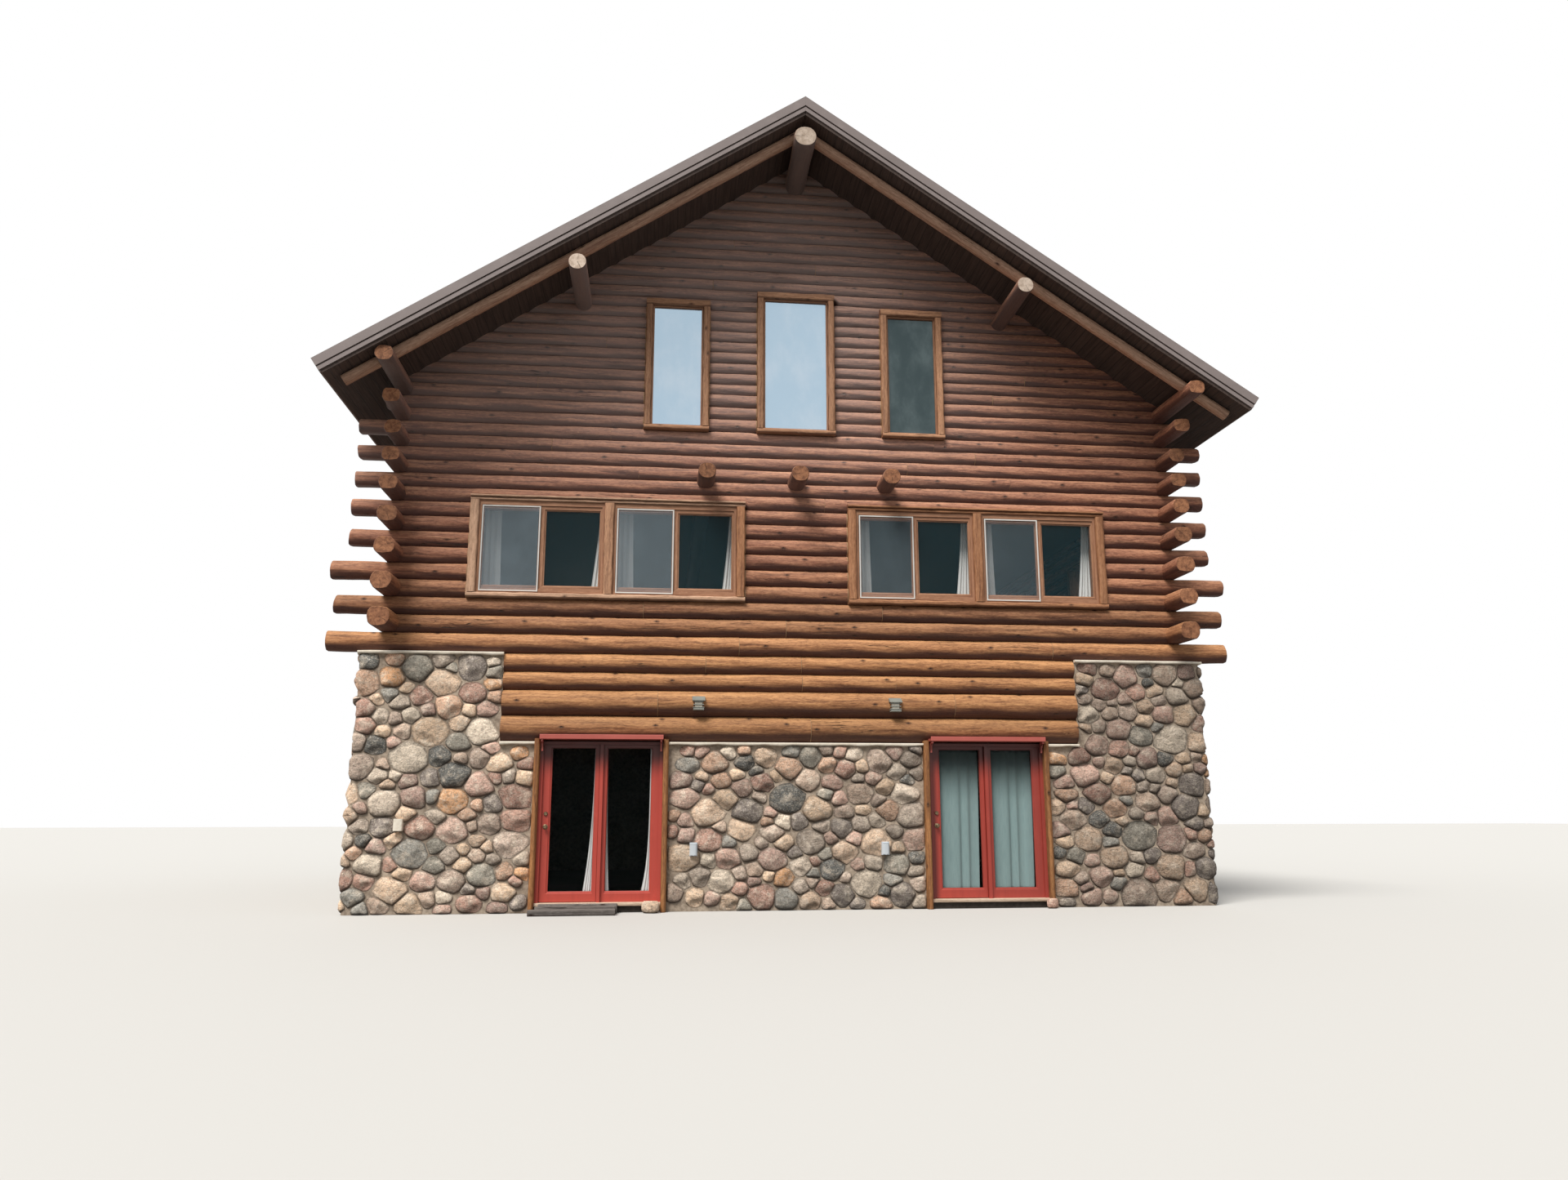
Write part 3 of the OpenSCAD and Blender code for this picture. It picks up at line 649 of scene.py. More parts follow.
@dataclass(frozen=True)
class WoodFinish:
    """Stained or bare timber whose grain runs along the UV map's u."""

    name: str
    light: Colour
    middle: Colour
    dark: Colour
    warm: tuple[Colour, Colour, Colour] | None = None
    grain: float = 55.0
    knots: float = 1.0
    checks: float = 1.0
    roughness: float = 0.62
    # sun: how much faces that look up are lightened, partly sun-bleaching and partly painted highlight.
    sun: float = 0.3
    # The next two: how much, and in what colour, faces that look down get painted shade.
    underside_shade: float = 0.6
    under: Colour = (0.030, 0.012, 0.009)
    # The next two: how much, and in what colour, the wall gets a painted pale haze of light high up.
    dust_and_painted_haze: float = 0.0
    haze_colour: Colour = (0.41, 0.35, 0.33)
    relief: float = 0.014

    def make(self) -> bpy.types.Material:
        """Builds the material: fibres, streaks, lumps, knots, checks, a partly painted highlight on faces
        that look up, painted shade on faces that look down, and a painted haze of light high on the wall.
        """
        net = Coat(self.name)
        tone, warm, place = net.cell(0), net.cell(1), net.cell(2)
        uv = net.moved(net.uv, net.vector(place * 17.0, place * 5.0, tone * 31.0))
        wander = net.noise(net.stretch(uv, (1.4, 4.0, 1.0)), 1.0, 3.0)
        bent = net.moved(net.vector(0.0, wander * 0.09, 0.0), uv)
        fibre = net.noise(net.stretch(bent, (5.0, self.grain * 1.5, 1.0)), 1.0, 6.0, 0.70)
        streak = net.noise(net.stretch(bent, (1.2, 26.0, 1.0)), 1.0, 5.0, 0.62)
        lump = net.noise(net.stretch(uv, (8.0, 12.0, 1.0)), 1.0, 4.0, 0.6)
        patch = net.noise(net.stretch(uv, (1.3, 3.0, 1.0)), 1.0, 3.0, 0.5)
        peel = net.noise(net.stretch(bent, (15.0, 62.0, 1.0)), 1.0, 4.0, 0.62)
        crack = abs(net.noise(net.stretch(bent, (0.7, 20.0, 2.0)), 1.0, 2.0, 0.55) - 0.5)
        where = net.noise(net.stretch(uv, (0.8, 3.0, 5.0)), 1.0, 1.0).step(0.60, 0.68)
        check = (1.0 - crack.step(0.002, 0.010)) * where * self.checks
        knot_at = net.stretch(uv, (2.3, 2.1, 0.0))
        gap, centre, colour = (
            net.node("ShaderNodeTexVoronoi", {"voronoi_dimensions": "2D"},
                     {"Vector": knot_at, "Scale": 1.0}, out) for out in ("Distance", "Position", "Color"))
        away = net.node("ShaderNodeVectorMath", {"operation": "SUBTRACT"}, {0: knot_at, 1: centre})
        eye_gap = net.length(net.stretch(away, (0.30, 0.95, 0.0)))
        chosen = net.part(colour, 0).above(0.3) * self.knots
        knot = (1.0 - gap.step(0.010, 0.036)) * chosen
        halo = (1.0 - gap.step(0.02, 0.11)) * chosen
        eye = (1.0 - eye_gap.step(0.006, 0.045)) * chosen
        light, middle, dark = self.light, self.middle, self.dark
        if self.warm is not None:
            light, middle, dark = (net.mix(cool, (golden, warm)) for cool, golden in zip(
                (light, middle, dark), self.warm))
        # Faces that look up are lightened: partly sun-bleaching, partly painted highlight.
        facing = net.facing(2)
        high = (streak.step(0.50, 0.72) * 0.55 + facing.step(-0.1, 1.0) * self.sun
                + patch.step(0.5, 0.8) * 0.25 + lump.step(0.52, 0.8) * 0.14)
        body = net.mix(
            dark, (middle, streak.step(0.27, 0.55)),
            (light, high.least(1.0)),
            (dark, (1.0 - fibre.step(0.34, 0.54)) * 0.45),
            (dark, (1.0 - peel.step(0.34, 0.50)) * 0.45),
            (light, peel.step(0.54, 0.68) * 0.35),
            (light, fibre.step(0.56, 0.76) * 0.35),
            (dark, (1.0 - lump.step(0.30, 0.46)) * 0.12),
            # Painted shade on faces that look down.
            (self.under, (0.0 - facing).step(0.02, 0.50) * self.underside_shade),
            ((0.022, 0.010, 0.006), knot * 0.8),
            (dark, halo * 0.4),
            ((0.030, 0.013, 0.008), eye * 0.85),
            ((0.014, 0.008, 0.005), check * 0.9))
        # Painted haze of light: paler from 4.6 m to 8 m up, most on the left and middle and little past x =
        # 4.6 m.
        if self.dust_and_painted_haze:
            raised = net.part(net.here, 2).step(4.6, 8.0) * (1.10 - net.part(net.here, 0).step(0.6, 4.6))
            body = net.mix(body, (self.haze_colour, raised * self.dust_and_painted_haze))
        height = (fibre * 0.3 + peel * 0.25 + streak * 0.4 + lump * 0.45 + halo * 0.4 - check * 0.9
                  - knot * 0.4 - eye * 0.3 + patch * 0.25)
        rough = fibre.span(self.roughness - 0.08, self.roughness + 0.16)
        return net.finish(net.bright(body, tone.span(0.80, 1.20)), rough, height, self.relief, 0.85,
                          Specular_IOR_Level=0.3)


@dataclass(frozen=True)
class EndGrainFinish:
    """Sawn log end: growth rings round the pith, with radial checks."""

    name: str
    light: Colour
    dark: Colour

    def make(self) -> bpy.types.Material:
        """Builds the material from the end's flat coordinates, which start at the pith."""
        net = Coat(self.name)
        tone, place = net.cell(0), net.cell(2)
        uv = net.uv
        moved = net.moved(uv, net.vector(0.0, 0.0, place * 40.0))
        length = net.length(uv)
        rings = (length * 800.0 + net.noise(moved, 9.0, 3.0) * 26.0).maths("SINE")
        x, y = net.part(uv, 0), net.part(uv, 1)
        bend = (net.noise(moved, 22.0, 2.0) - 0.5) * 0.02
        split: Any = 0.0
        for turn, width in ((0.0, 0.0030), (2.6, 0.0008)):
            angle = place * 6.2832 + turn
            cos, sin = angle.maths("COSINE"), angle.maths("SINE")
            across = abs(x * sin - y * cos + bend)
            along = (x * cos + y * sin).step(0.0, 0.02)
            split = split + (1.0 - across.step(width * 0.4, width)) * along
        speck = net.noise(moved, 70.0, 4.0, 0.7)
        blot = net.noise(moved, 16.0, 5.0, 0.65)
        body = net.mix(
            self.dark, (self.light, blot.step(0.34, 0.66) * 0.7 + speck.step(0.35, 0.65) * 0.3),
            (self.dark, rings.step(0.0, 1.0) * 0.14),
            (self.dark, length.step(0.09, 0.15) * 0.4),
            ((0.02, 0.012, 0.008), split.least(0.9)))
        return net.finish(net.bright(body, tone.span(0.8, 1.2)), 0.75, speck * 0.4 + rings * 0.08 - split,
                          0.006, 0.7, Specular_IOR_Level=0.3)


@dataclass(frozen=True)
class StoneFinish:
    """Mixed fieldstones: each stone has its own colour, speckle and veins."""

    name: str
    palette: tuple[Colour, ...]

    def make(self) -> bpy.types.Material:
        """Builds the material; the first cell value picks the stone's colour and the second its brightness,
        which on the front carries painted light towards the left and painted shade towards the right. Stones
        get painted shade at their rims and on faces that look down.
        """
        net = Coat(self.name)
        pick, tone, place = net.cell(0), net.cell(1), net.cell(2)
        here = net.moved(net.here, net.vector(place * 9.0, place * 5.0, place * 7.0))
        stops = [(k / len(self.palette), c) for k, c in enumerate(self.palette)]
        base = net.node("ShaderNodeValToRGB", {"stops": stops}, {0: pick})
        fine = net.noise(here, 150.0, 5.0, 0.75)
        mottle = net.noise(here, 19.0, 6.0, 0.66)
        cloud = net.noise(here, 8.0, 3.0, 0.5)
        vein = abs(net.noise(net.stretch(here, (1.0, 1.0, 2.4)), 7.0, 4.0, 0.6, 0.6) - 0.5)
        grain = net.part(net.node("ShaderNodeTexVoronoi", {}, {"Vector": here, "Scale": 110.0}, "Color"), 0)
        body = net.mix(
            base, ((0.055, 0.043, 0.034), (1.0 - mottle.step(0.32, 0.52)) * 0.45),
            ((0.92, 0.78, 0.63), cloud.step(0.50, 0.70) * 0.50),
            ((0.95, 0.86, 0.75), mottle.step(0.56, 0.70) * 0.40),
            ((0.88, 0.80, 0.70), grain.step(0.72, 0.95) * 0.30),
            ((0.05, 0.04, 0.035), grain.step(0.30, 0.02) * 0.42),
            ((0.82, 0.70, 0.56), (1.0 - vein.step(0.004, 0.02)) * 0.4),
            ((0.06, 0.05, 0.04), fine.step(0.58, 0.72) * 0.35))
        # Painted shade: each stone darkens towards its rim, where it meets the mortar, and on faces that look
        # down.
        body = net.mix(
            net.bright(body, tone.span(0.74, 1.50)),
            ((0.050, 0.040, 0.032), net.part(net.uv, 0).step(0.80, 1.0) * 0.6),
            ((0.045, 0.035, 0.03), (0.0 - net.facing(2)).step(0.10, 0.9) * 0.75))
        height = fine * 0.3 + mottle * 0.9 + cloud * 0.6 + vein.step(0.0, 0.03) * 0.2
        return net.finish(body, fine.span(0.62, 0.9), height, 0.038, 0.95, Specular_IOR_Level=0.25)


@dataclass(frozen=True)
class GrainyFinish:
    """Mortar, concrete and other grainy masses."""

    name: str
    light: Colour
    dark: Colour
    scale: float = 1.0
    relief: float = 0.006

    def make(self) -> bpy.types.Material:
        """Builds the material: sand grain over soft clouds."""
        net = Coat(self.name)
        sand = net.noise(net.here, 220.0 * self.scale, 4.0, 0.7)
        lump = net.noise(net.here, 22.0 * self.scale, 5.0, 0.6)
        cloud = net.noise(net.here, 2.2 * self.scale, 3.0, 0.5)
        body = net.mix(
            self.dark, (self.light, lump.step(0.3, 0.66) * 0.6 + cloud.step(0.35, 0.7) * 0.4),
            (self.dark, sand.step(0.56, 0.7) * 0.4))
        return net.finish(body, 0.88, sand * 0.35 + lump, self.relief, 0.8, Specular_IOR_Level=0.2)


@dataclass(frozen=True)
class PaintFinish:
    """Paint on metal or wood: even colour with soft dirt, streaks and a light orange peel."""

    name: str
    colour: Colour
    dirt: Colour
    roughness: float = 0.45
    wear: float = 0.3
    streak: Colour = (3.0, 3.0, 0.5)
    relief: float = 0.0008
    # How strongly the paint gets painted shade under the door hood and on the right door.
    painted_shade: float = 0.0

    def make(self) -> bpy.types.Material:
        """Builds the material; where the finish asks for it, painted shade darkens the paint to near black
        close under the door hood and on the right door's left stile, and more lightly across the right door
        towards its right.
        """
        net = Coat(self.name)
        cloud = net.noise(net.stretch(net.here, self.streak), 1.3, 4.0, 0.6)
        fine = net.noise(net.here, 90.0, 4.0, 0.65)
        chalk = net.noise(net.here, 5.0, 5.0, 0.6)
        body = net.mix(
            self.colour, (self.dirt, cloud.step(0.45, 0.8) * self.wear),
            (self.dirt, fine.step(0.62, 0.8) * self.wear * 0.5),
            (tuple(min(1.0, c * 1.35 + 0.02) for c in self.colour), chalk.step(0.5, 0.8) * 0.35))
        # Painted shade: from 1.66 m up to the hood, on the right door's left stile, and growing towards the
        # right across the right door.
        if self.painted_shade:
            across = net.part(net.here, 0)
            edge = across.step(1.74, 1.76) * (1.0 - across.step(1.84, 1.92)) * 0.75
            right_side_shade = across.step(1.2, 3.4) * 0.35
            unshaded = (1.0 - net.part(net.here, 2).step(1.66, 2.03)) * (1.0 - edge) * (1.0 - right_side_shade)
            body = net.mix(body, ((0.016, 0.005, 0.005), (1.0 - unshaded) * self.painted_shade))
        rough = chalk.span(self.roughness - 0.1, self.roughness + 0.15)
        return net.finish(body, rough, fine + cloud * 0.4, self.relief, 0.6)


@dataclass(frozen=True)
class SoffitFinish:
    """Dark boards under the roof, running along the ridge's direction."""

    name: str
    light: Colour
    dark: Colour
    pitch: float = 0.13

    def make(self) -> bpy.types.Material:
        """Builds the material: seams every board width down the slope, grain along the boards."""
        net = Coat(self.name)
        down = abs(net.part(net.here, 0)) / (math.cos(PITCH) * self.pitch)
        edge = abs((down % 1.0) - 0.5) * 2.0
        seam = edge.step(0.93, 0.99) * (1.0 - abs(net.facing(1)).step(0.5, 0.9))
        index = down.maths("FLOOR")
        shift = net.vector(index * 7.3, index, 0.0)
        grain = net.noise(net.stretch(net.here, (34.0, 1.6, 34.0), shift), 1.0, 5.0, 0.6)
        tone = net.noise(net.vector(index * 3.7, 0.0, 0.0), 1.0, 0.0)
        body = net.mix(
            self.dark, (self.light, grain.step(0.3, 0.7) * 0.7 + tone * 0.3),
            ((0.01, 0.008, 0.007), seam * 0.9))
        return net.finish(body, 0.7, grain * 0.3 - seam, 0.006, 0.8, Specular_IOR_Level=0.25)


@dataclass(frozen=True)
class ClothFinish:
    """Woven curtain cloth."""

    name: str
    colour: Colour
    fold: Colour
    weave: float = 900.0
    # How strongly the cloth gets painted shade towards its top.
    painted_shade: float = 0.0

    def make(self) -> bpy.types.Material:
        """Builds the material: a plain weave on the UV map, with slubs and soft soiling, and painted shade
        towards the top where the finish asks for it.
        """
        net = Coat(self.name)
        weft, warp = ((net.part(net.uv, k) * self.weave).maths("SINE") * 0.5 + 0.5 for k in (0, 1))
        slub = net.noise(net.stretch(net.uv, (60.0, 6.0, 1.0)), 1.0, 4.0, 0.6)
        soil = net.noise(net.uv, 2.0, 3.0, 0.5)
        body = net.mix(self.colour, (self.fold, slub.step(0.4, 0.75) * 0.35 + soil.step(0.45, 0.8) * 0.25))
        if self.painted_shade:
            # Painted shade towards the top of the cloth.
            shade = net.part(net.here, 2).step(1.30, 2.06)
            body = net.mix(body, ((0.012, 0.018, 0.016), shade * self.painted_shade))
        return net.finish(body, 0.85, weft * warp + slub * 0.6, 0.0008, 0.5,
                          Sheen_Weight=0.15, Specular_IOR_Level=0.2)


@dataclass(frozen=True)
class MeshFinish:
    """Insect mesh: fine dark wires that let most of what is behind through."""

    name: str
    colour: Colour
    cover: float

    def make(self) -> bpy.types.Material:
        """Builds the material, with the wires' cover as its opacity."""
        net = Coat(self.name)
        dust_and_painted_haze = net.noise(net.here, 1.6, 5.0, 0.7)
        x, z = net.part(net.here, 0) + net.part(net.here, 1), net.part(net.here, 2)
        wires = ((x * 2200.0).maths("SINE") + (z * 2200.0).maths("SINE")) * 0.06
        alpha = dust_and_painted_haze.span(self.cover - 0.03, self.cover + 0.04) * net.cell(0).span(0.35, 1.4) + wires
        body = net.mix(self.colour, (tuple(min(1.0, c * 1.3) for c in self.colour), dust_and_painted_haze.step(0.4, 0.8)))
        return net.finish(body, 0.7, wires, 0.0005, 0.3, Alpha=alpha, Specular_IOR_Level=0.2)


@dataclass(frozen=True)
class GlassFinish:
    """Window glass over a dark room: tinted, smooth and partly see-through."""

    name: str
    tint: Colour
    cover: float
    # patch: on the attic panes, a second colour of painted reflection.
    patch: Colour | None = None
    gloss: float = 0.12
    mirror: float = 0.0

    def make(self) -> bpy.types.Material:
        """Builds the material; the patch colour drifts over the pane in soft patches. On the mirrored attic
        panes the tint and patches are painted reflections of sky and trees.
        """
        net = Coat(self.name)
        reflection_patches = net.noise(net.stretch(net.here, (1.0, 1.0, 0.6)), 1.7, 5.0, 0.6)
        base = net.mix(self.tint, (self.patch or self.tint, reflection_patches.step(0.4, 0.75)))
        smear = net.noise(net.here, 14.0, 3.0, 0.5)
        return net.finish(base, smear.span(0.03, 0.10), smear, 0.0006, 0.12, Metallic=self.mirror,
                          Alpha=self.cover, Specular_IOR_Level=self.gloss)


@dataclass(frozen=True)
class MetalFinish:
    """Aged brass or dark metal with a worn sheen."""

    name: str
    colour: Colour
    tarnish: Colour
    roughness: float = 0.35

    def make(self) -> bpy.types.Material:
        """Builds the material."""
        net = Coat(self.name)
        spots = net.noise(net.here, 60.0, 5.0, 0.65)
        body = net.mix(self.colour, (self.tarnish, spots.step(0.35, 0.7)))
        return net.finish(body, spots.span(self.roughness, self.roughness + 0.25), spots, 0.0005, 0.5,
                          Metallic=0.85)


class Finishes:
    """All finishes of the building, each made once."""

    def __init__(self) -> None:
        """Makes every material."""
        # Every wood finish paints shade on faces that look down and lightens faces that look up, partly
        # sun-bleaching and partly painted highlight; the log finish also paints a pale haze of light high on
        # the wall.
        self.log = WoodFinish(
            "stained_log", (0.64, 0.328, 0.192), (0.340, 0.140, 0.082), (0.080, 0.028, 0.019),
            ((0.67, 0.355, 0.155), (0.40, 0.180, 0.076), (0.12, 0.044, 0.018)),
            grain=70.0, sun=0.45, underside_shade=0.88,
            under=(0.048, 0.018, 0.016), dust_and_painted_haze=0.34).make()
        self.rafter = WoodFinish(
            "rafter_log", (0.86, 0.60, 0.44), (0.62, 0.38, 0.26), (0.26, 0.13, 0.085), grain=70.0,
            sun=0.2, underside_shade=0.25, under=(0.30, 0.17, 0.12)).make()
        self.log_end = EndGrainFinish("log_end", (0.42, 0.19, 0.094), (0.135, 0.052, 0.027)).make()
        self.pale_end = EndGrainFinish("pale_log_end", (0.78, 0.64, 0.53), (0.44, 0.33, 0.25)).make()
        self.caulk = GrainyFinish("caulk", (0.46, 0.31, 0.18), (0.26, 0.16, 0.09), 1.0, 0.001).make()
        self.casing = WoodFinish(
            "oiled_casing", (0.60, 0.31, 0.165), (0.42, 0.190, 0.090), (0.17, 0.070, 0.035),
            ((0.74, 0.48, 0.33), (0.54, 0.33, 0.215), (0.24, 0.14, 0.09)),
            grain=110.0, knots=0.7, checks=0.6, sun=0.15, underside_shade=0.5, relief=0.008).make()
        self.jamb = WoodFinish(
            "jamb_log", (0.56, 0.27, 0.105), (0.33, 0.145, 0.055), (0.12, 0.045, 0.019),
            grain=80.0, checks=0.6, sun=0.1).make()
        self.sill = WoodFinish(
            "sill_wood", (0.86, 0.68, 0.53), (0.74, 0.56, 0.42), (0.45, 0.32, 0.22),
            grain=90.0, knots=0.3, checks=0.4, sun=0.1).make()
        self.plank = WoodFinish(
            "weathered_plank", (0.30, 0.265, 0.24), (0.17, 0.148, 0.135), (0.065, 0.055, 0.05),
            grain=90.0, checks=1.0, roughness=0.8, sun=0.2).make()
        self.floor = WoodFinish(
            "floor_board", (0.50, 0.36, 0.22), (0.36, 0.25, 0.15), (0.2, 0.13, 0.08)).make()
        self.stone = StoneFinish("fieldstone", (
            (0.52, 0.39, 0.31), (0.72, 0.43, 0.33), (0.82, 0.59, 0.41), (0.46, 0.37, 0.30),
            (0.80, 0.44, 0.23), (0.64, 0.47, 0.36), (0.15, 0.15, 0.14), (0.76, 0.49, 0.39),
            (0.92, 0.77, 0.61), (0.36, 0.33, 0.275), (0.48, 0.28, 0.215), (0.60, 0.46, 0.37),
            (0.30, 0.25, 0.22), (0.86, 0.62, 0.44), (0.58, 0.39, 0.31), (0.72, 0.59, 0.47),
            (0.74, 0.53, 0.38), (0.50, 0.33, 0.27), (0.38, 0.36, 0.32), (0.76, 0.48, 0.33),
        )).make()
        self.mortar = GrainyFinish("mortar", (0.56, 0.455, 0.355), (0.24, 0.185, 0.14)).make()
        self.mortar_cap = GrainyFinish("mortar_cap", (0.95, 0.87, 0.75), (0.78, 0.69, 0.56)).make()
        self.concrete = GrainyFinish("concrete", (0.32, 0.30, 0.28), (0.20, 0.19, 0.175), 0.6).make()
        # Near black: painted shade on the low board under each door sill's front.
        self.painted_sill_shade = GrainyFinish("painted_sill_shade", (0.12, 0.10, 0.085), (0.06, 0.05, 0.042)).make()
        self.soffit = SoffitFinish("soffit_board", (0.085, 0.058, 0.048), (0.03, 0.02, 0.017)).make()
        self.roof = PaintFinish("roof_metal", (0.20, 0.18, 0.172), (0.12, 0.105, 0.10),
                                0.42, 0.5, (1.0, 3.0, 0.6)).make()
        self.trim = PaintFinish("trim_metal", (0.24, 0.196, 0.187), (0.145, 0.118, 0.11),
                                0.38, 0.35, (0.6, 3.0, 3.0)).make()
        self.frame = WoodFinish(
            "window_frame", (0.56, 0.31, 0.19), (0.42, 0.215, 0.125), (0.24, 0.11, 0.06),
            grain=110.0, knots=0.0, checks=0.0, roughness=0.5, sun=0.1, relief=0.002).make()
        self.white = PaintFinish("screen_frame", (0.72, 0.71, 0.68), (0.45, 0.43, 0.40), 0.5).make()
        # The red paint's last value paints shade under the door hoods and on the right door.
        self.red = PaintFinish("red_paint", (0.46, 0.060, 0.040), (0.24, 0.028, 0.020),
                               0.5, 0.4, (9.0, 9.0, 0.8), 0.0012, 0.88).make()
        self.hood = PaintFinish("hood_paint", (0.46, 0.105, 0.082), (0.31, 0.050, 0.038), 0.4).make()
        self.lamp = PaintFinish("lamp_metal", (0.24, 0.25, 0.225), (0.10, 0.105, 0.10), 0.5).make()
        self.cover = PaintFinish("cover_metal", (0.62, 0.66, 0.70), (0.36, 0.37, 0.38), 0.5).make()
        self.brass = MetalFinish("aged_brass", (0.24, 0.17, 0.10), (0.07, 0.045, 0.03)).make()
        self.mesh = MeshFinish("insect_mesh", (0.36, 0.44, 0.50), 0.155).make()
        self.glass = GlassFinish("dark_glass", (0.050, 0.115, 0.140), 0.12).make()
        self.door_glass = GlassFinish("door_glass", (0.006, 0.009, 0.009), 0.10).make()
        # The attic panes' pale blue, and the dim panes' dark tint with paler patches, are painted reflections
        # of sky and trees, shown through their mirror finish.
        self.sky_glass = GlassFinish("painted_sky_glass", (0.46, 0.60, 0.72), 0.97, (0.54, 0.65, 0.75),
                                     mirror=0.85).make()
        self.dim_glass = GlassFinish("dim_glass", (0.065, 0.092, 0.098), 0.93, (0.14, 0.18, 0.185),
                                     mirror=0.5).make()
        self.white_cloth = ClothFinish("white_curtain", (0.94, 0.96, 0.95), (0.74, 0.78, 0.79)).make()
        # The grey cloth gets painted shade towards its top.
        self.grey_cloth = ClothFinish("grey_curtain", (0.35, 0.49, 0.49), (0.225, 0.35, 0.36),
                                      painted_shade=0.85).make()


# Logs

def openings(wall: Wall) -> list[Rect]:
    """Every window opening of a wall, over its casing.

    Args:
        wall: the wall.
    Returns:
        The openings: two wide ones, and on the end walls three tall ones in the gable.
    """
    if not wall.is_end:
        return [Rect(s * 2.1 - 0.9575, s * 2.1 + 0.9575, 4.06, 5.48) for s in (-1, 1)]
    wide = [Rect(s * DOOR_X - 1.86, s * DOOR_X + 1.86, 4.06, 5.48) for s in (-1, 1)]
    tall = [Rect(s * 1.695 - 0.455, s * 1.695 + 0.455, 6.50, 8.47) for s in (-1, 1)]
    return [*wide, *tall, Rect(-0.56, 0.56, 6.50, 8.65)]


def blunt(u: Array) -> Array:
    """One over most of minus one to one, with a tight round fall to nought at both ends."""
    return (1 - np.abs(u) ** 14) ** (1 / 14)


@dataclass
class LogMaker:
    """Makes log lengths as closed surfaces with hewn flats, swells, bows and sawn ends."""

    surface: Surface
    facing: Facing
    seed: int
    spacing: float = 0.11
    outer: int = 15
    inner: int = 5
    seam: float = 0.0090
    tones: dict[int, float] = field(default_factory=dict)

    def seam_shift(self, index: int, t: Array) -> Array:
        """How far the seam under course index wanders up or down along the wall."""
        return self.seam * ripple(t, self.seed * 1000 + index + 50, 2.6, 5)

    def length(self, t0: float, t1: float, course: Course, notches: Sequence[Rect],
               ends: tuple[bool, bool], slope: bool) -> None:
        """One log length between two places on the wall.

        Each ring is a circle of the log's diameter, kept between the seam below and the seam
        above, with its corners rounded by a high power of the height. The outer half has more
        points than the inner one.

        Args:
            t0: start along the wall.
            t1: end along the wall.
            course: the course it lies in, whose seams its neighbours share.
            notches: windows that take part of the log's height.
            ends: which ends are free and get a small chamfer.
            slope: both ends follow the roof's underside.
        """
        index, z0, z1 = course.index, course.z0, course.z1
        rng = np.random.default_rng(self.seed * 7919 + (index + 9) * 131 + int((t0 + 40) * 97))
        n = max(3, int(round((t1 - t0) / self.spacing)) + 1)
        t = np.linspace(t0, t1, n)
        if slope:
            inner_end = max(0.0, (APEX - z1) / SLOPE - 0.05)
            t = np.linspace(max(t0, -inner_end), min(t1, inner_end), n)
            low_cut, high_cut = t0 < -inner_end, t1 > inner_end
            t = np.concatenate([[t[0] - 0.02] * low_cut, t, [t[-1] + 0.02] * high_cut])
        for cut in notches:
            for edge in (cut.x0, cut.x1):
                if t[0] + 0.01 < edge < t[-1] - 0.01:
                    t = np.concatenate([t[np.abs(t - edge) > 0.012], [edge - 0.0015, edge + 0.0015]])
        t = np.sort(t)
        if ends[0]:
            t = np.concatenate([[t[0]], [t[0] + 0.012], t[t > t[0] + 0.03]])
        if ends[1]:
            t = np.concatenate([t[t < t[-1] - 0.03], [t[-1] - 0.012], [t[-1]]])
        low = z0 - 0.004 + self.seam_shift(index, t)
        high = z1 + 0.004 + self.seam_shift(index + 1, t)
        for cut in notches:
            inside = (t > cut.x0) & (t < cut.x1)
            if cut.z0 > z0 and cut.z1 >= z1:
                high = np.where(inside, cut.z0, high)
            elif cut.z1 < z1:
                low = np.where(inside, cut.z1, low)
        centre = (z0 + z1) / 2
        radius = course.diameter / 2 * (1 - 0.012 + 0.012 * ripple(t, index * 31 + self.seed, 3.1, 3))
        bow = 0.004 * ripple(t, index * 17 + self.seed + 5, 4.5, 2)
        u = np.sin(np.concatenate([np.linspace(-1, 1, self.outer), np.linspace(1, -1, self.inner + 2)[1:-1]])
                   * math.pi / 2)
        way = np.repeat([1.0, -1.0], [self.outer, self.inner])
        z = (low + high)[:, None] / 2 + (high - low)[:, None] / 2 * u
        reach = np.sqrt(np.maximum(radius[:, None] ** 2 - (z - centre) ** 2, 1e-6))
        swell = 0.0030 * np.sin(t[:, None] * rng.uniform(5, 9) + 5 * u + rng.random() * 6)
        swell = swell + 0.0022 * np.sin(t[:, None] * 19.0 - 9 * u + rng.random() * 6)
        out = (reach - 0.004 + swell) * blunt(u) * way + bow[:, None]
        along = np.repeat(t[:, None], len(u), axis=1)
        for end, second, free, sign in ((0, 1, ends[0], -1), (-1, -2, ends[1], 1)):
            if free:
                z[end] = centre + (z[end] - centre) * END_SHARE
                out[end] *= END_SHARE
                skew = rng.normal(0, 0.05, 2)
                tilt = skew[0] * (z[end] - centre) + skew[1] * out[end]
                tilt -= np.abs(tilt).max() * sign
                along[end] += tilt
                along[second] += tilt
        if slope:
            limit = (APEX - z) / SLOPE + 0.03
            if low_cut:
                along[0] = -limit[0]
            if high_cut:
                along[-1] = limit[-1]
        tone = self.tones.get(index, 0.8) + rng.uniform(-0.12, 0.12) if self.tones else rng.random()
        self.surface.loft(self.facing.place(along, out, z), 0, 1,
                          cap_uv=np.stack([out[0], z[0] - centre], axis=1),
                          cell=(tone, course.warmth, rng.random()), u0=rng.random() * 9)

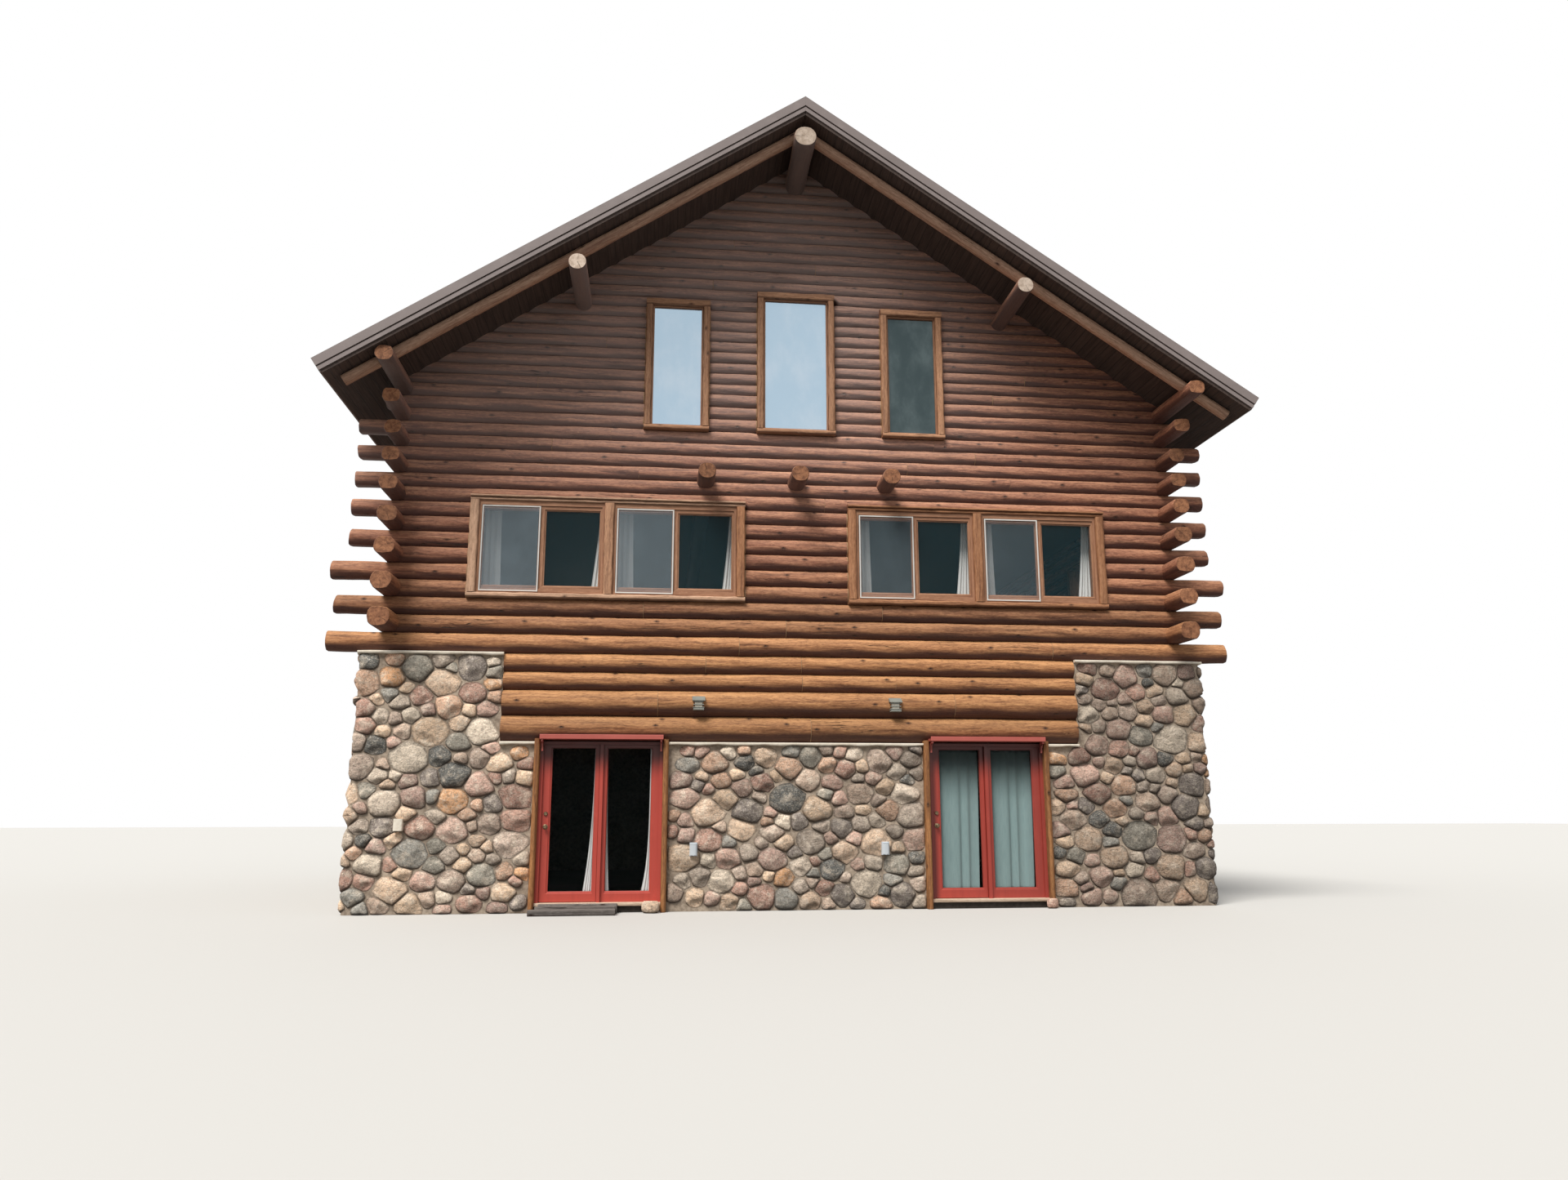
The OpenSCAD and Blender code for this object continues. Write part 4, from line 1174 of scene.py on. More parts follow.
    def band(self, t: float, course: Course, width: float) -> None:
        """A thin line of caulk round the outer face of a log, at a joint or beside a casing.

        Args:
            t: its place along the wall.
            course: the course it crosses.
            width: its width.
        """
        u = np.sin(np.linspace(-0.93, 0.93, 11) * math.pi / 2)
        low = course.z0 + self.seam_shift(course.index, np.array(t))
        high = course.z1 + self.seam_shift(course.index + 1, np.array(t))
        z = (low + high) / 2 + (high - low) / 2 * u
        off_centre = z - (course.z0 + course.z1) / 2
        front = (np.sqrt(np.maximum((course.diameter / 2) ** 2 - off_centre ** 2, 1e-6)) - 0.001) * blunt(u)
        out, height = np.concatenate([front, front[::-1] - 0.02]), np.concatenate([z, z[::-1]])
        self.surface.loft(np.stack([self.facing.place(t + s * width / 2, out, height) for s in (-1, 1)]), 2)


@dataclass
class LogWalls:
    """The four log walls: courses, window gaps, joints, butt-and-pass corners."""

    finishes: Finishes
    tail: float = 0.475
    side_tail: float = 0.500
    end_tails: dict[int, float] = field(default_factory=lambda: {
        0: 0.615, 2: 0.560, 4: 0.640, WALL_N - 2: 0.150})
    side_tails: dict[int, float] = field(default_factory=lambda: {
        WALL_N - 1: 1.180, WALL_N - 3: 0.700})
    joints: dict[int, tuple[float, ...]] = field(default_factory=lambda: {
        -4: (0.18,), -3: (-1.87, 2.17), -2: (0.07, 1.36), -1: (-1.24, 0.06), 0: (-0.79, 3.6),
        1: (-0.15,), 2: (-2.09, 1.19), 9: (0.4,), 11: (-2.2, 3.1), 12: (1.6,), 13: (-3.4, 2.6),
        14: (-2.6, 2.0), 18: (-3.63, 2.9), 20: (3.4,), 22: (-2.7,), 28: (-1.2, 1.6), 30: (0.3,),
        32: (-0.9,)})
    tones: dict[int, float] = field(default_factory=lambda: {
        -4: 0.20, -3: 0.60, -2: 0.90, -1: 1.60, 0: 1.20, 1: 0.35, 2: 0.05, 3: 0.4, 4: 0.7, 5: 0.5,
        6: 0.75, 7: 0.6, 8: 0.8, 9: 0.9, 10: 1.1, 11: 0.9, 12: 1.1, 13: 1.0, 14: 1.2, 15: 1.0,
        16: 1.1, 17: 0.9})

    def reach(self, wall: Wall, course: Course) -> tuple[float, bool]:
        """How far a course runs.

        Args:
            wall: the wall.
            course: the course.
        Returns:
            The reach from the wall's middle, and whether the ends are free.
        """
        i = course.index
        passing = (i % 2 == 0) == wall.is_end
        if i < 0:
            return PIER_X, False
        if i >= WALL_N:
            return (APEX - course.z0) / SLOPE + 0.03, False
        half, tails = (SIDE_X, self.end_tails) if wall.is_end else (FRONT_Y, self.side_tails)
        if not passing:
            return half, False
        return half + course.diameter / 2 + tails.get(i, self.tail if wall.is_end else self.side_tail), True

    def course(self, maker: LogMaker, wall: Wall, course: Course) -> None:
        """Cuts one course at windows and joints, and makes its lengths.

        Args:
            maker: makes the lengths.
            wall: the wall.
            course: the course.
        """
        i, z0, z1 = course.index, course.z0, course.z1
        far, free = self.reach(wall, course)
        rng = np.random.default_rng(500 + i + 100 * maker.seed)
        trim = rng.uniform(0.0, 0.05, 2) if free and i not in (0, 2, 4, WALL_N - 1) else (0.0, 0.0)
        first, last = -far + trim[0], far - trim[1]
        spans = [(first, last)]
        notches = []
        for w in openings(wall):
            if w.z0 >= z1 - 0.012 or w.z1 <= z0 + 0.012:
                continue
            if w.z0 > z0 + 0.02 or w.z1 < z1 - 0.02:
                notches.append(w)
                continue
            parts = []
            for a, b in spans:
                if w.x1 <= a or w.x0 >= b:
                    parts.append((a, b))
                else:
                    parts += [(a, w.x0 + 0.001)] * (w.x0 > a) + [(w.x1 - 0.001, b)] * (w.x1 < b)
            spans = parts
        spots = self.joints.get(i, ()) if wall is Wall.FRONT else (
            (rng.uniform(-3.4, 3.4),) if i < WALL_N and i % 2 == 0 else ())
        for a, b in spans:
            cuts = sorted(s for s in spots if a + 0.3 < s < b - 0.3)
            marks = [a, *cuts, b]
            for s0, s1 in zip(marks, marks[1:]):
                if s1 - s0 < 0.05:
                    continue
                at_end = (abs(s0 - first) < 1e-6, abs(s1 - last) < 1e-6)
                maker.length(s0, s1, course, notches, (free and at_end[0], free and at_end[1]),
                             i >= WALL_N and any(at_end))
            if wall is Wall.FRONT:
                for s in cuts:
                    maker.band(s, course, 0.005)
                for edge, sign in ((a, 1), (b, -1)):
                    if edge not in (first, last):
                        maker.band(edge + sign * 0.006, course, 0.012)

    def make(self) -> None:
        """Builds the six wall pieces that stand for the CAD's even and odd courses."""
        f = self.finishes
        for name, walls in (("front", (Wall.FRONT,)), ("back", (Wall.BACK,)),
                            ("side", (Wall.LEFT, Wall.RIGHT))):
            for parity, word in enumerate(("even", "odd")):
                surface = Surface(f"{name}_log_courses_{word}")
                for wall in walls:
                    seed = 3 + list(Wall).index(wall)
                    maker = LogMaker(surface, wall.value, seed, 0.22, 11)
                    if wall is Wall.FRONT:
                        maker = LogMaker(surface, wall.value, seed, 0.12, 15, tones=self.tones)
                    first = -len(INFILL) if wall is Wall.FRONT else 0
                    last = WALL_N + GABLE_N if wall.is_end else WALL_N
                    for i in range(first, last):
                        if i % 2 == parity:
                            self.course(maker, wall, Course(i))
                surface.build([f.log, f.log_end, f.caulk], "log", replaces=[f"{name}_logs_{word}"])


@dataclass
class RoofTimbers:
    """Ridge, purlins, loft beams and the slanting rafter logs at the gable edges."""

    finishes: Finishes
    ridge_z: float = APEX - 0.326
    purlin_x: float = 3.040
    purlin_z: float = APEX - SLOPE * 3.040 - 0.359
    rafter_y: float = 5.635
    rafter_r: float = 0.0775

    def bar(self, surface: Surface, start: Sequence[float], end: Sequence[float], radius: float,
            seed: int, warmth: float, flat: float = 1.0) -> None:
        """A round log between two points, with swells along it and sawn ends.

        Args:
            surface: the piece it belongs to.
            start: middle of one end.
            end: middle of the other end.
            radius: its radius, which it doesn't pass.
            seed: picks the swells.
            warmth: second cell value.
            flat: share of the radius at which the top and bottom are hewn flat.
        """
        a, b = np.asarray(start, float), np.asarray(end, float)
        length = float(np.linalg.norm(b - a))
        way = (b - a) / length
        side = np.cross(way, (0.0, 0.0, 1.0))
        side /= np.linalg.norm(side)
        t = np.concatenate([[0.0], np.linspace(0.012, length - 0.012, max(4, int(length / 0.16))), [length]])
        angle = np.arange(20) * 2 * math.pi / 20 + 0.1
        rng = np.random.default_rng(seed + 100)
        swell = 1 - 0.03 + 0.02 * ripple(t, seed, 2.4, 3)[:, None]
        swell = swell + 0.010 * np.sin(7 * t[:, None] + 2 * angle + rng.random() * 6)
        r = radius * np.minimum(swell, 1.0)
        r = (r ** -12 + (flat * radius / np.maximum(np.abs(np.sin(angle)), 1e-3)) ** -12) ** (-1 / 12)
        r[[0, -1]] *= END_SHARE
        across, up = np.cos(angle) * r, np.sin(angle) * r
        rings = (a + t[:, None] * way)[:, None]
        rings = rings + across[..., None] * side + up[..., None] * np.cross(side, way)
        surface.loft(rings, 0, 1, cap_uv=np.stack([across[0], up[0]], axis=1),
                     cell=(rng.random(), warmth, rng.random()), u0=rng.random() * 9)

    def make(self) -> None:
        """Builds the four timber pieces."""
        f = self.finishes
        ridge, purlins, beams, rafters = (Surface(name) for name in (
            "ridge_timber", "purlin_timbers", "loft_beam_timbers", "gable_rafter_timbers"))
        self.level(ridge, 0.0, ROOF_END_Y, self.ridge_z, 0.155, 11, 0.3)
        for s in (-1, 1):
            self.level(purlins, s * self.purlin_x, ROOF_END_Y, self.purlin_z, 0.120, 20 + s, 0.1)
            for e in (-1, 1):
                drop = self.rafter_r + 0.0003
                ends = [(s * (u * math.cos(PITCH) - drop * math.sin(PITCH)), e * self.rafter_y,
                         APEX - u * math.sin(PITCH) - drop * math.cos(PITCH)) for u in (0.10, 7.2136)]
                self.bar(rafters, *ends, self.rafter_r, 41 + s + 3 * e, 0.2)
        for k in (-1, 0, 1):
            self.level(beams, k * 1.27, 5.205, BEAM_Z, 0.125, 31 + k, 0.25, 0.9)
        for piece, wood, end, node in ((ridge, f.log, f.pale_end, "ridge_log"),
                                       (purlins, f.log, f.pale_end, "purlin_logs"),
                                       (beams, f.log, f.log_end, "loft_beams"),
                                       (rafters, f.rafter, f.log_end, "fly_rafters")):
            piece.build([wood, end], "log", replaces=[node])

    def level(self, surface: Surface, x: float, reach: float, z: float, *shape: float) -> None:
        """A level bar from front to back at (x, z), with the last arguments of bar."""
        self.bar(surface, (x, -reach, z), (x, reach, z), *shape)


# Stonework

@dataclass
class StonePath:
    """The stone walls' outer line on the plan, developed into one long strip."""

    corners: Sequence[tuple[float, float]]
    radius: float = 0.06

    def __post_init__(self) -> None:
        """Samples the line, with an arc at every inner corner."""
        pts = [np.asarray(c, float) for c in self.corners]
        xy: list[Array] = []
        normal: list[Array] = []
        self.corner_s: list[float] = []
        for k in range(len(pts) - 1):
            way = (pts[k + 1] - pts[k]) / np.linalg.norm(pts[k + 1] - pts[k])
            out = np.array([-way[1], way[0]])
            a = pts[k] + (way * self.radius if k > 0 else 0)
            b = pts[k + 1] - (way * self.radius if k < len(pts) - 2 else 0)
            xy += [a, b]
            normal += [out, out]
            if k < len(pts) - 2:
                nxt = (pts[k + 2] - pts[k + 1]) / np.linalg.norm(pts[k + 2] - pts[k + 1])
                out2 = np.array([-nxt[1], nxt[0]])
                centre = b - out * self.radius
                for w in np.linspace(0, math.pi / 2, 9)[1:-1]:
                    direction = out * math.cos(w) + out2 * math.sin(w)
                    xy.append(centre + direction * self.radius)
                    normal.append(direction)
        self.xy = np.array(xy)
        self.normal = np.array(normal)
        steps = np.linalg.norm(np.diff(self.xy, axis=0), axis=1)
        self.s = np.concatenate([[0.0], np.cumsum(steps)]) + np.arange(len(self.xy)) * 1e-9
        self.total = float(self.s[-1])
        for k in range(1, len(pts) - 1):
            near = np.argmin(np.linalg.norm(self.xy - pts[k], axis=1))
            self.corner_s.append(float(self.s[near]))

    def place(self, s: Array, out: Array, z: Array) -> Array:
        """Turns strip coordinates into the model's; past its ends the strip runs on straight.

        Args:
            s: place along the strip.
            out: outwards.
            z: up.
        Returns:
            (..., 3) points.
        """
        x, y, nx, ny = (np.interp(s, self.s, column) for column in (*self.xy.T, *self.normal.T))
        over = np.minimum(s, 0) + np.maximum(s - self.total, 0)
        x = x + over * self.normal[0, 1]
        y = y - over * self.normal[0, 0]
        size = np.maximum(np.hypot(nx, ny), 1e-6)
        return np.stack([x + nx / size * out, y + ny / size * out, np.broadcast_to(z, x.shape)], axis=-1)


@dataclass
class StonePanel:
    """Part of the strip that takes stones: a rectangle, with a lower top near its ends."""

    path: StonePath
    top: float
    low_top: float
    low_reach: float
    seed: int
    sides: int = 18
    gap: float = 0.0005
    depth: float = 0.072
    bed: float = 0.014
    soft: float = 0.0035
    stretch: float = 1.22

    def inside(self, s: Array, z: Array, margin: float) -> Array:
        """Where a stone's middle may lie, with a margin to every edge."""
        ends = np.minimum(s, self.path.total - s)
        top = np.where(ends < self.low_reach + margin, self.low_top, self.top)
        return (ends > margin) & (z > margin * 0.8) & (z < top - margin * 0.8)

    def scatter(self) -> tuple[Array, Array]:
        """Throws stones of falling sizes at the strip, and keeps those that find room.

        Returns:
            (n, 2) places and (n,) radii.
        """
        rng = np.random.default_rng(self.seed)
        area = self.path.total * self.top
        sites = np.zeros((4000, 2))
        radii = np.zeros(4000)
        count = 0
        for radius, share in ((0.225, 0.5), (0.195, 1.6), (0.172, 3.5), (0.15, 7.0), (0.13, 14.0),
                              (0.112, 30.0), (0.096, 60.0), (0.08, 90.0), (0.066, 90.0)):
            tries = int(area * share)
            s = rng.random(tries) * self.path.total
            z = rng.random(tries) * self.top
            size = radius * rng.uniform(0.92, 1.08, tries)
            good = self.inside(s, z, radius * 0.9)
            for a, b, r in zip(s[good], z[good], size[good]):
                far = np.hypot(sites[:count, 0] - a, (sites[:count, 1] - b) * self.stretch)
                if count < len(radii) and not np.any(far < (radii[:count] + r) * 0.96):
                    sites[count] = (a, b)
                    radii[count] = r
                    count += 1
        return sites[:count], radii[:count]

    def ghosts(self, sites: Array, radii: Array) -> tuple[Array, Array]:
        """Mirrors the stones near each edge, so that cells end on the edge.

        Args:
            sites: the stones' places.
            radii: their sizes.
        Returns:
            The places and sizes with the mirrored ones added.
        """
        s, z = sites.T
        total, reach = self.path.total, 0.45
        ends = np.minimum(s, total - s)
        mirrors = [
            (s < reach, -s, z),
            (s > total - reach, 2 * total - s, z),
            (z < reach, s, -z),
            (z > self.top - reach, s, 2 * self.top - z),
        ]
        if self.low_top < self.top:
            step = np.where(s < total / 2, self.low_reach, total - self.low_reach)
            beyond = (ends > self.low_reach) & (ends < self.low_reach + reach) & (z > self.low_top)
            mirrors += [
                ((ends < self.low_reach) & (z > self.low_top - reach), s, 2 * self.low_top - z),
                (beyond, 2 * step - s, z),
            ]
        return (np.vstack([sites, *(np.stack([a, b], 1)[near] for near, a, b in mirrors)]),
                np.concatenate([radii, *(radii[near] for near, _, _ in mirrors)]))

    def outlines(self, sites: Array, radii: Array) -> tuple[Array, Array]:
        """Outline of each stone, as a distance for each direction, heights stretched.

        The outline is the cell nearest to the stone, weighed by its size: in each direction the
        distances to all neighbours' borders are joined by a smooth least value, and the mortar's
        half width comes off.

        Args:
            sites: the stones' places.
            radii: their sizes.
        Returns:
            The directions and the (n, sides) distances.
        """
        all_sites, all_radii = self.ghosts(sites, radii)
        sites = sites * (1.0, self.stretch)
        all_sites = all_sites * (1.0, self.stretch)
        angle = np.arange(self.sides) * 2 * math.pi / self.sides
        way = np.stack([np.cos(angle), np.sin(angle)])
        rng = np.random.default_rng(self.seed + 1)
        outline = np.zeros((len(sites), self.sides))
        for at in range(0, len(sites), 128):
            part = slice(at, at + 128)
            d = all_sites[None] - sites[part, None]
            square = (d ** 2).sum(-1)
            border = (square + radii[part, None] ** 2 - all_radii[None] ** 2) / 2
            near = (square > 1e-9) & (square < 1.0)
            dot = np.einsum("ijk,kl->ijl", d, way)
            ok = (dot > 1e-4) & near[..., None]
            distance = np.where(ok, border[..., None] / np.where(ok, dot, 1.0), 1e3)
            outline[part] = (np.maximum(distance, 0.01) ** -22.0).sum(1) ** (-1 / 22)
        limit = radii[:, None] * (1.75 + 0.14 * np.cos(2 * angle + rng.random((len(sites), 1)) * 6))
        outline = (outline ** -8 + limit ** -8) ** (-1 / 8)
        lumps = sum(np.sin(k * angle + rng.random((len(sites), 1)) * 2 * math.pi) * 0.024 / k ** 0.5
                    for k in (3, 4, 6))
        gap = self.gap * np.hypot(way[0], way[1] * self.stretch)
        return angle, np.maximum(outline * (1 + lumps) - gap, 0.016)

    def stones(self, surfaces: Sequence[Surface], owner: Array, sites: Array, radii: Array,
               rings: Sequence[float]) -> None:
        """Adds a closed shell for each stone to the piece that owns it.

        The face is the soft least of a dome and three broken facets. The dome's height is its
        rise times (1 - share ** 2.5) ** 0.58, where share runs from the middle to the outline, and
        each facet is a plane that leans its own way. Three low waves come on top.

        Args:
            surfaces: the pieces.
            owner: for each stone the place of its piece.
            sites: the stones' places.
            radii: the stones' sizes.
            rings: shares of the outline at which rings of points lie, from the middle out.
        """
        angle, outline = self.outlines(sites, radii)
        rng = np.random.default_rng(self.seed + 2)
        n, m = outline.shape
        share = np.array([0.0, *rings])
        rise = self.depth * rng.uniform(0.62, 1.0, n) * np.clip(0.7 + radii * 2.4, 0.8, 1.1)
        phase = rng.random((n, 3)) * 6.3
        tilt = rng.random(n)[:, None, None] * math.pi
        reach = outline[:, None, :] * share[:, None]
        dx, dz = reach * np.cos(angle), reach * np.sin(angle) / self.stretch
        dome = ((1 - share ** 2.5) ** 0.58)[:, None]
        total = np.exp(-rise[:, None, None] * dome / self.soft) * np.ones(m)
        turn = rng.random(n) * 2 * math.pi
        for k in range(3):
            way = (turn + (k + rng.uniform(-0.3, 0.3, n)) * 2 * math.pi / 3)[:, None, None]
            slope = rng.uniform(0.05, 0.75, n)[:, None, None]
            level = (rise * rng.uniform(0.95, 1.45, n))[:, None, None]
            plane = level - slope * (dx * np.cos(way) + dz * np.sin(way))
            total = total + np.exp(-np.maximum(plane, 0.004) / self.soft)
        ax = dx * np.cos(tilt) + dz * np.sin(tilt)
        az = dz * np.cos(tilt) - dx * np.sin(tilt)
        one, two, three = phase.T[:, :, None, None]
        waves = np.sin(30 * ax + one) + np.sin(51 * az + two) + 0.7 * np.sin(69 * (ax + az) + three)
        height = np.clip(waves * 0.0022 * dome - self.soft * np.log(total), 0.001, self.depth)
        tops = self.path.place(sites[:, 0], height[:, 0].mean(axis=1), sites[:, 1])
        share, dx, dz, height = share[1:], dx[:, 1:], dz[:, 1:], height[:, 1:]
        height[:, -1, :] = -self.bed
        points = self.path.place(sites[:, 0, None, None] + dx, height, sites[:, 1, None, None] + dz)
        points[..., 2] = np.maximum(points[..., 2], 0.001)
        backs = self.path.place(sites[:, 0], np.full(n, -self.bed), sites[:, 1])
        rows = len(share)
        i, j = np.indices((rows - 1, m)).reshape(2, -1)
        j1 = (j + 1) % m
        quads = np.stack([i * m + j, (i + 1) * m + j, (i + 1) * m + j1, i * m + j1], axis=1)
        q = np.arange(m)
        q1 = (q + 1) % m
        top_fan = np.stack([np.full(m, rows * m), q, q1], axis=1)
        back_fan = np.stack([np.full(m, rows * m + 1), (rows - 1) * m + q1, (rows - 1) * m + q], axis=1)
        cells = rng.random((n, 3))
        side = tops[:, 0] / STONE_X
        shade = np.where(tops[:, 1] < 0, 0.30 * side + 1.35 * np.clip(side - 0.55, 0, 0.45), 0.0)
        cells[:, 1] = np.clip(0.15 + 0.7 * cells[:, 1] - shade, -0.3, 1.2)
        edge = np.concatenate([np.repeat(share, m), [0.0, 1.0]])
        every = np.concatenate([points.reshape(n, -1, 3), tops[:, None], backs[:, None]], axis=1)
        for index, surface in enumerate(surfaces):
            own = np.flatnonzero(owner == index)
            if not len(own):
                continue
            shift = (np.arange(len(own)) * len(edge))[:, None, None]
            groups = []
            for corners in (quads, top_fan, back_fan):
                uv = np.tile(edge[corners], (len(own), 1))
                groups.append(((corners + shift).reshape(uv.shape), np.stack([uv, uv], axis=2), 0))
            surface.shell(every[own].reshape(-1, 3), groups, np.repeat(cells[own], len(edge), axis=0))


@dataclass
class Stonework:
    """Fieldstone walls: a mortar core with a rounded corner, bedded stones and mortar caps."""

    finishes: Finishes
    inset: float = 0.072
    fine: tuple[float, ...] = (0.34, 0.6, 0.8, 0.92, 0.985, 1.0)
    coarse: tuple[float, ...] = (0.5, 0.82, 0.97, 1.0)

    def core(self, surface: Surface, outline: Sequence[tuple[float, float]], z1: float,
             place: float) -> None:
        """A mortar mass from the ground to a height over a plan outline.

        Args:
            surface: the piece it belongs to.
            outline: (x, y) corners.
            z1: its top.
            place: third cell value.
        """
        levels = np.linspace(0.0, z1, max(3, int(z1 / 0.3)))
        surface.loft(sweep(np.array(outline), levels, 2), 1, cell=(0.5, 0.5, place / 10))

    def corner_arc(self, sx: int, sy: int) -> list[tuple[float, float]]:
        """Points of a rounded corner, from the end wall's face to the side wall's."""
        x, y, r = STONE_X - self.inset - 0.06, STONE_Y - self.inset - 0.06, 0.06
        return [(sx * (x + r * math.sin(a)), sy * (y + r * math.cos(a)))
                for a in np.linspace(0, math.pi / 2, 6)]

    def cap(self, surface: Surface, path: StonePath, s0: float, s1: float, z: float, seed: int) -> None:
        """A pale mortar bed on a wall's top edge, with a wandering lower lip.

        Args:
            surface: the piece it belongs to.
            path: the wall's line.
            s0: start along the line.
            s1: end along the line.
            z: its top.
            seed: picks the wander.
        """
        s = np.linspace(s0, s1, max(4, int((s1 - s0) / 0.12)))
        out = 0.060 + 0.005 * ripple(s, seed, 0.8)
        low = 0.038 + 0.008 * ripple(s, seed + 1, 0.6)
        profile = ((-0.05, 0.0, 0.0), (0.6, 0.0, 0.0), (0.96, 0.0, -0.003), (1.0, 0.3, 0.0),
                   (0.99, 0.8, 0.0), (0.85, 1.0, 0.0), (-0.05, 1.0, 0.0))
        rings = [path.place(s, np.where(a < 0, a, out * a), z - low * b + c) for a, b, c in profile]
        surface.loft(np.stack(rings, axis=1), 2)

    def make(self) -> None:
        """Builds the six stone walls."""
        f = self.finishes
        x, y, xi, yi = STONE_X - self.inset, STONE_Y - self.inset, STONE_IN_X, STONE_IN_Y
        door_in, door_out = DOOR_X - DOOR_W / 2, DOOR_X + DOOR_W / 2
        high, low = LOG_BASE - 0.001, STONE_MID - 0.001
        path = StonePath([(-door_out, -y), (-x, -y), (-x, y), (x, y), (x, -y), (door_out, -y)])
        names = ("front_left", "left_wall", "back_wall", "right_wall", "front_right", "front_middle")
        surfaces = [Surface(f"fieldstone_{name}") for name in names]
        *around, middle = surfaces
        low_reach = PIER_X - door_out
        panel = StonePanel(path, LOG_BASE - 0.034, STONE_MID - 0.034, low_reach, 71)
        sites, radii = panel.scatter()
        owner = np.searchsorted(np.array(path.corner_s), sites[:, 0])
        front = (owner == 0) | (owner == 4)
        panel.stones(around, np.where(front, owner, -1), sites, radii, self.fine)
        panel.stones(around, np.where(front, -1, owner), sites, radii, self.coarse)
        for s, k in ((-1, 0), (1, 4)):
            self.core(surfaces[k], [(s * PIER_X, -yi), (s * PIER_X, -y), *self.corner_arc(s, -1),
                                    (s * x, -yi)], high, k)
            self.core(surfaces[k], [(s * door_out, -yi), (s * door_out, -y), (s * PIER_X, -y),
                                    (s * PIER_X, -yi)], low, k)
        for s, k in ((-1, 1), (1, 3)):
            self.core(surfaces[k], [(s * x, -yi), (s * x, yi), (s * xi, yi), (s * xi, -yi)], high, k)
        self.core(surfaces[2], [(-x, yi), *self.corner_arc(-1, 1)[::-1], *self.corner_arc(1, 1), (x, yi)],
                  high, 2)
        marks = [low_reach, *path.corner_s, path.total - low_reach]
        for k, surface in enumerate(around):
            self.cap(surface, path, marks[k], marks[k + 1], LOG_BASE - 0.0005, 5 + 3 * k)
        self.cap(surfaces[0], path, 0.0, low_reach, STONE_MID - 0.0005, 31)
        self.cap(surfaces[4], path, path.total - low_reach, path.total, STONE_MID - 0.0005, 33)
        straight = StonePath([(door_in, -y), (-door_in, -y)])
        inner = StonePanel(straight, STONE_MID - 0.034, STONE_MID - 0.034, 0.0, 93)
        inner_sites, inner_radii = inner.scatter()
        inner.stones([middle], np.zeros(len(inner_radii), int), inner_sites, inner_radii, self.fine)
        self.core(middle, [(-door_in, -yi), (-door_in, -y), (door_in, -y), (door_in, -yi)], low, 7)
        self.cap(middle, straight, 0.0, straight.total, STONE_MID - 0.0005, 41)
        for surface, name in zip(surfaces, names):
            surface.build([f.stone, f.mortar, f.mortar_cap], "fieldstone", replaces=[f"stone_{name}"],
                          sharp=60)
        log.info("stones: %d", len(radii) + len(inner_radii))


# Windows

